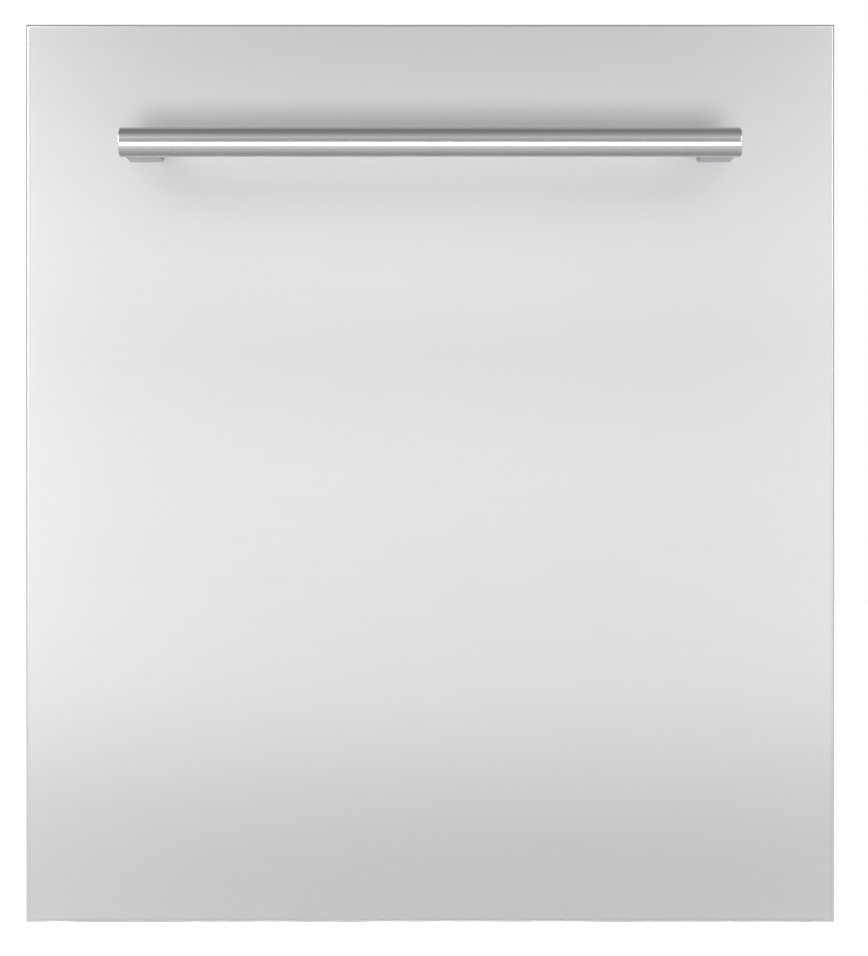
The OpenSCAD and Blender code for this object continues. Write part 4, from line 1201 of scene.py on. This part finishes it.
def make_kick_details():
    """Pressed ribs, edge strips and fixing screws of the kick plate."""
    face = -187.4
    bm = bmesh.new()
    for z in (50, 112):
        block(bm, (-262, face - 0.9, z - 3.5), (262, face + 0.4, z + 3.5), 0.8, 4)
    for a, b in ((-294.6, -292.6), (292.6, 294.6)):
        block(bm, (a, face + 0.2, 60), (b, face + 5, 140), 0.3)
    part("kick_ribs", bm, "cabinet", "kick")
    bm = bmesh.new()
    for x in (-240, 0, 240):
        screw_head(bm, (x, face, 81), (0, -1, 0), 4.2, 1.4)
    part("kick_screws", bm, "cabinet", "zinc")


def make_feet():
    """Levelling feet: pad, nut and threaded stem."""
    for node in ("foot_front_left", "foot_front_right", "foot_rear_left", "foot_rear_right"):
        lo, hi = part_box(node)
        x, y = (lo.x + hi.x) * 500, (lo.y + hi.y) * 500
        bm = bmesh.new()
        lathe(bm, [(0, 0), (18.6, 0), (20, 1.2), (20, 4.6), (18.8, 6.4), (14, 7.6), (9, 8), (0, 8)],
              (x, y, 0), UP, 64)
        nut = [(11 * cos(pi / 3 * k), 11 * sin(pi / 3 * k)) for k in range(6)]
        skin(bm, [[bm.verts.new((x + u * grow, y + v * grow, z)) for u, v in nut]
                  for grow, z in ((0.94, 7), (1, 7.8), (1, 13.2), (0.92, 14))], True, True)
        rings, pitch = [], 1.5
        for z in spaced(12, 97.8, 241):
            radii = [(t, 4.62 + 0.34 * cos(2 * pi * z / pitch - t)) for t in turn(20)]
            rings.append([bm.verts.new((x + q * cos(t), y + q * sin(t), z)) for t, q in radii])
        skin(bm, rings, True, True)
        part(node.replace("foot", "screw_foot"), bm, node, "dark", node, sharp=30)


def make_springs():
    """Wound balance springs with hooked ends."""
    bm = bmesh.new()
    for s in (-1, 1):
        x, z, turns, per = s * 282, 196, 58, 12
        coil = [(2 * pi * k / per, 33 - 130 * k / (turns * per)) for k in range(turns * per + 1)]
        tube(bm, [(x + 6.1 * cos(a), y, z + 6.1 * sin(a)) for a, y in coil], 0.85, sides=6)
        for y0, y1, d in ((33, 43.2, 1), (-97, -112, -1)):
            hook = [(x + 6.1, y0, z), (x, y0 + d * 3, z), (x, y1 - d * 2, z), (x, y1, z - 1.2)]
            tube(bm, filleted(hook, 3), 0.9, sides=6)
    o = part("wound_springs", bm, None, "zinc", "door_springs", sharp=60)
    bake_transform(o)


def make_filter():
    """Filter basket with a mesh of fine bars and a grip, and the float beside it."""
    x, y = 62, -10
    bm = bmesh.new()
    lathe(bm, [(31, 140), (33, 140), (33, 146), (32, 147), (31, 147)], (x, y, 0), UP, 64, True)
    lathe(bm, [(0, 140.2), (31.4, 140.2), (31.4, 143), (0, 143)], (x, y, 0), UP, 48)
    lathe(bm, [(31, 184), (32.6, 184), (32.9, 191), (35.6, 192.2), (36, 193), (35.4, 194), (31.4, 194),
               (31, 192)], (x, y, 0), UP, 64, True)
    for a in turn(40):
        u, v = x + 32 * cos(a), y + 32 * sin(a)
        rod(bm, (u, v, 145), (u, v, 186), 0.8, 6, 0.1)
    for z in range(150, 184, 4):
        circle = [(x + 31.8 * cos(t), y + 31.8 * sin(t), z) for t in turn(48)]
        ribbon(bm, circle, oval(0.6, 0.6, 6), True, UP)
    block(bm, (x - 32, y - 4, 186), (x + 32, y + 4, 193.8), 1.2, 2)
    lathe(bm, [(0, 193), (10, 193), (10, 202.4), (9, 204), (6, 204), (5, 203), (0, 203)], (x, y, 0), UP, 40)
    block(bm, (x - 24, y - 4, 193.5), (x + 24, y + 4, 202), 2.4, 3)
    for k in range(4):
        block(bm, (x - 22 + k * 3, y - 4.0, 195), (x - 20.6 + k * 3, y + 4.0, 202.4), 0.4)
        block(bm, (x + 20.6 - k * 3, y - 4.0, 195), (x + 22 - k * 3, y + 4.0, 202.4), 0.4)
    part("filter_basket", bm, "filter_cylinder", "grey", "filter_cylinder")
    bm = bmesh.new()
    lathe(bm, [(5.2, 172), (7.4, 172), (8, 172.8), (8, 175), (5.2, 175)], (-205, -140, 0), UP, 32, True)
    lathe(bm, [(0, 172.4), (5, 172.4), (5, 219), (0, 219)], (-205, -140, 0), UP, 32)
    lathe(bm, [(5, 216.4), (15.4, 216.4), (16, 214), (16, 194.4), (17.4, 194.2), (18, 195), (17.8, 214.5),
               (16.6, 218.4), (13, 219.8), (5, 220)], (-205, -140, 0), UP, 56, True)
    part("float_cap", bm, "water_float", "pale", "water_float")


def make_riser():
    """Water pipe up the back wall to the top arm, with clips and docking port."""
    bm = bmesh.new()
    sections = ((140.2, 12, 5), (146, 16.8, 5.9), (400, 15.8, 5.7), (426, 16.8, 5.9), (456, 16.8, 5.9),
                (480, 14.6, 5.6), (740, 13.2, 5.4), (770, 12.4, 5.6), (787, 12, 5.6))
    flat_pipe(bm, sections, lambda u, v, z: (u, 277 + v, z), 28, 0.7)
    sections = ((30.2, 6, 5), (34, 11, 6.4), (45, 11.9, 6.8), (120, 10.5, 6.2), (262, 10.5, 6.2),
                (282, 11.5, 6.4))
    flat_pipe(bm, sections, lambda u, v, y: (u, y, 781 + v), 28, 0.7)
    lathe(bm, [(5, 762), (8, 762), (8, 776), (5, 776)], (0, 45, 0), UP, 40, True)
    lathe(bm, [(6, 0), (9.5, 0), (10.2, 1), (9.6, 2.6), (6, 2.8)], (0, 271.4, 441), (0, -1, 0), 40, True)
    rod(bm, (0, 165.5, 150), (0, 272, 150), 9, 32)
    for z in (250, 350, 560, 680):
        block(bm, (-19, 276, z - 5), (19, 284.6, z + 5), 1.4)
    part("riser_pipe", bm, "cabinet", "grey", "riser_tube")


MAT = make_materials()
for make in (make_camera, make_world, make_stage, make_outer_panel, make_handle, make_tub, make_side_panels,
             make_rear_panel, make_top_cover, make_door_liner, make_strip_marks, make_gaskets, make_dispenser,
             make_lower_basket, make_folding_tines, make_upper_basket, make_cup_shelf, make_cutlery_tray,
             make_rails):
    make()
# name, CAD node, underside, reach, hub and bore radius, way up, nozzle spacing
spray_arm("lower_arm", "lower_spray_arm", 206, 221.5, 19, 13.5, 1, 34)
spray_arm("upper_arm", "upper_spray_arm", 415, 204.5, 14, 9.5, 1, 34)
spray_arm("top_arm", "top_spray_arm", 752, 149.5, 13, 8.5, -1, 22)
for make in (make_wheels, make_kick_details, make_feet, make_springs, make_filter, make_riser):
    make()

# finish of the CAD nodes that keep their shape
FINISH = {
    "mesh": ["filter_plate"],
    "zinc": ["counter_brackets", "junction_box", "latch_strike", "hinge_brackets", "spring_links",
             "hinge_arms", "handle_screws", "pump_rotor"],
    "kick": ["kick_plate"],
    "dark": ["sump", "circulation_pump", "door_latch"],
    "strip": ["control_panel"],
    "grey": ["drain_pump"],
    "pale": ["base_tray", "inlet_valve"],
    "bitumen": ["door_damping_sheet"],
    "circuit": ["control_board"],
    "heater": ["heater"],
    "button": ["power_button", "program_button", "option_button", "start_button"],
    "window": ["display_window"],
}
for finish, names in FINISH.items():
    for n in names:
        dress(n, finish)
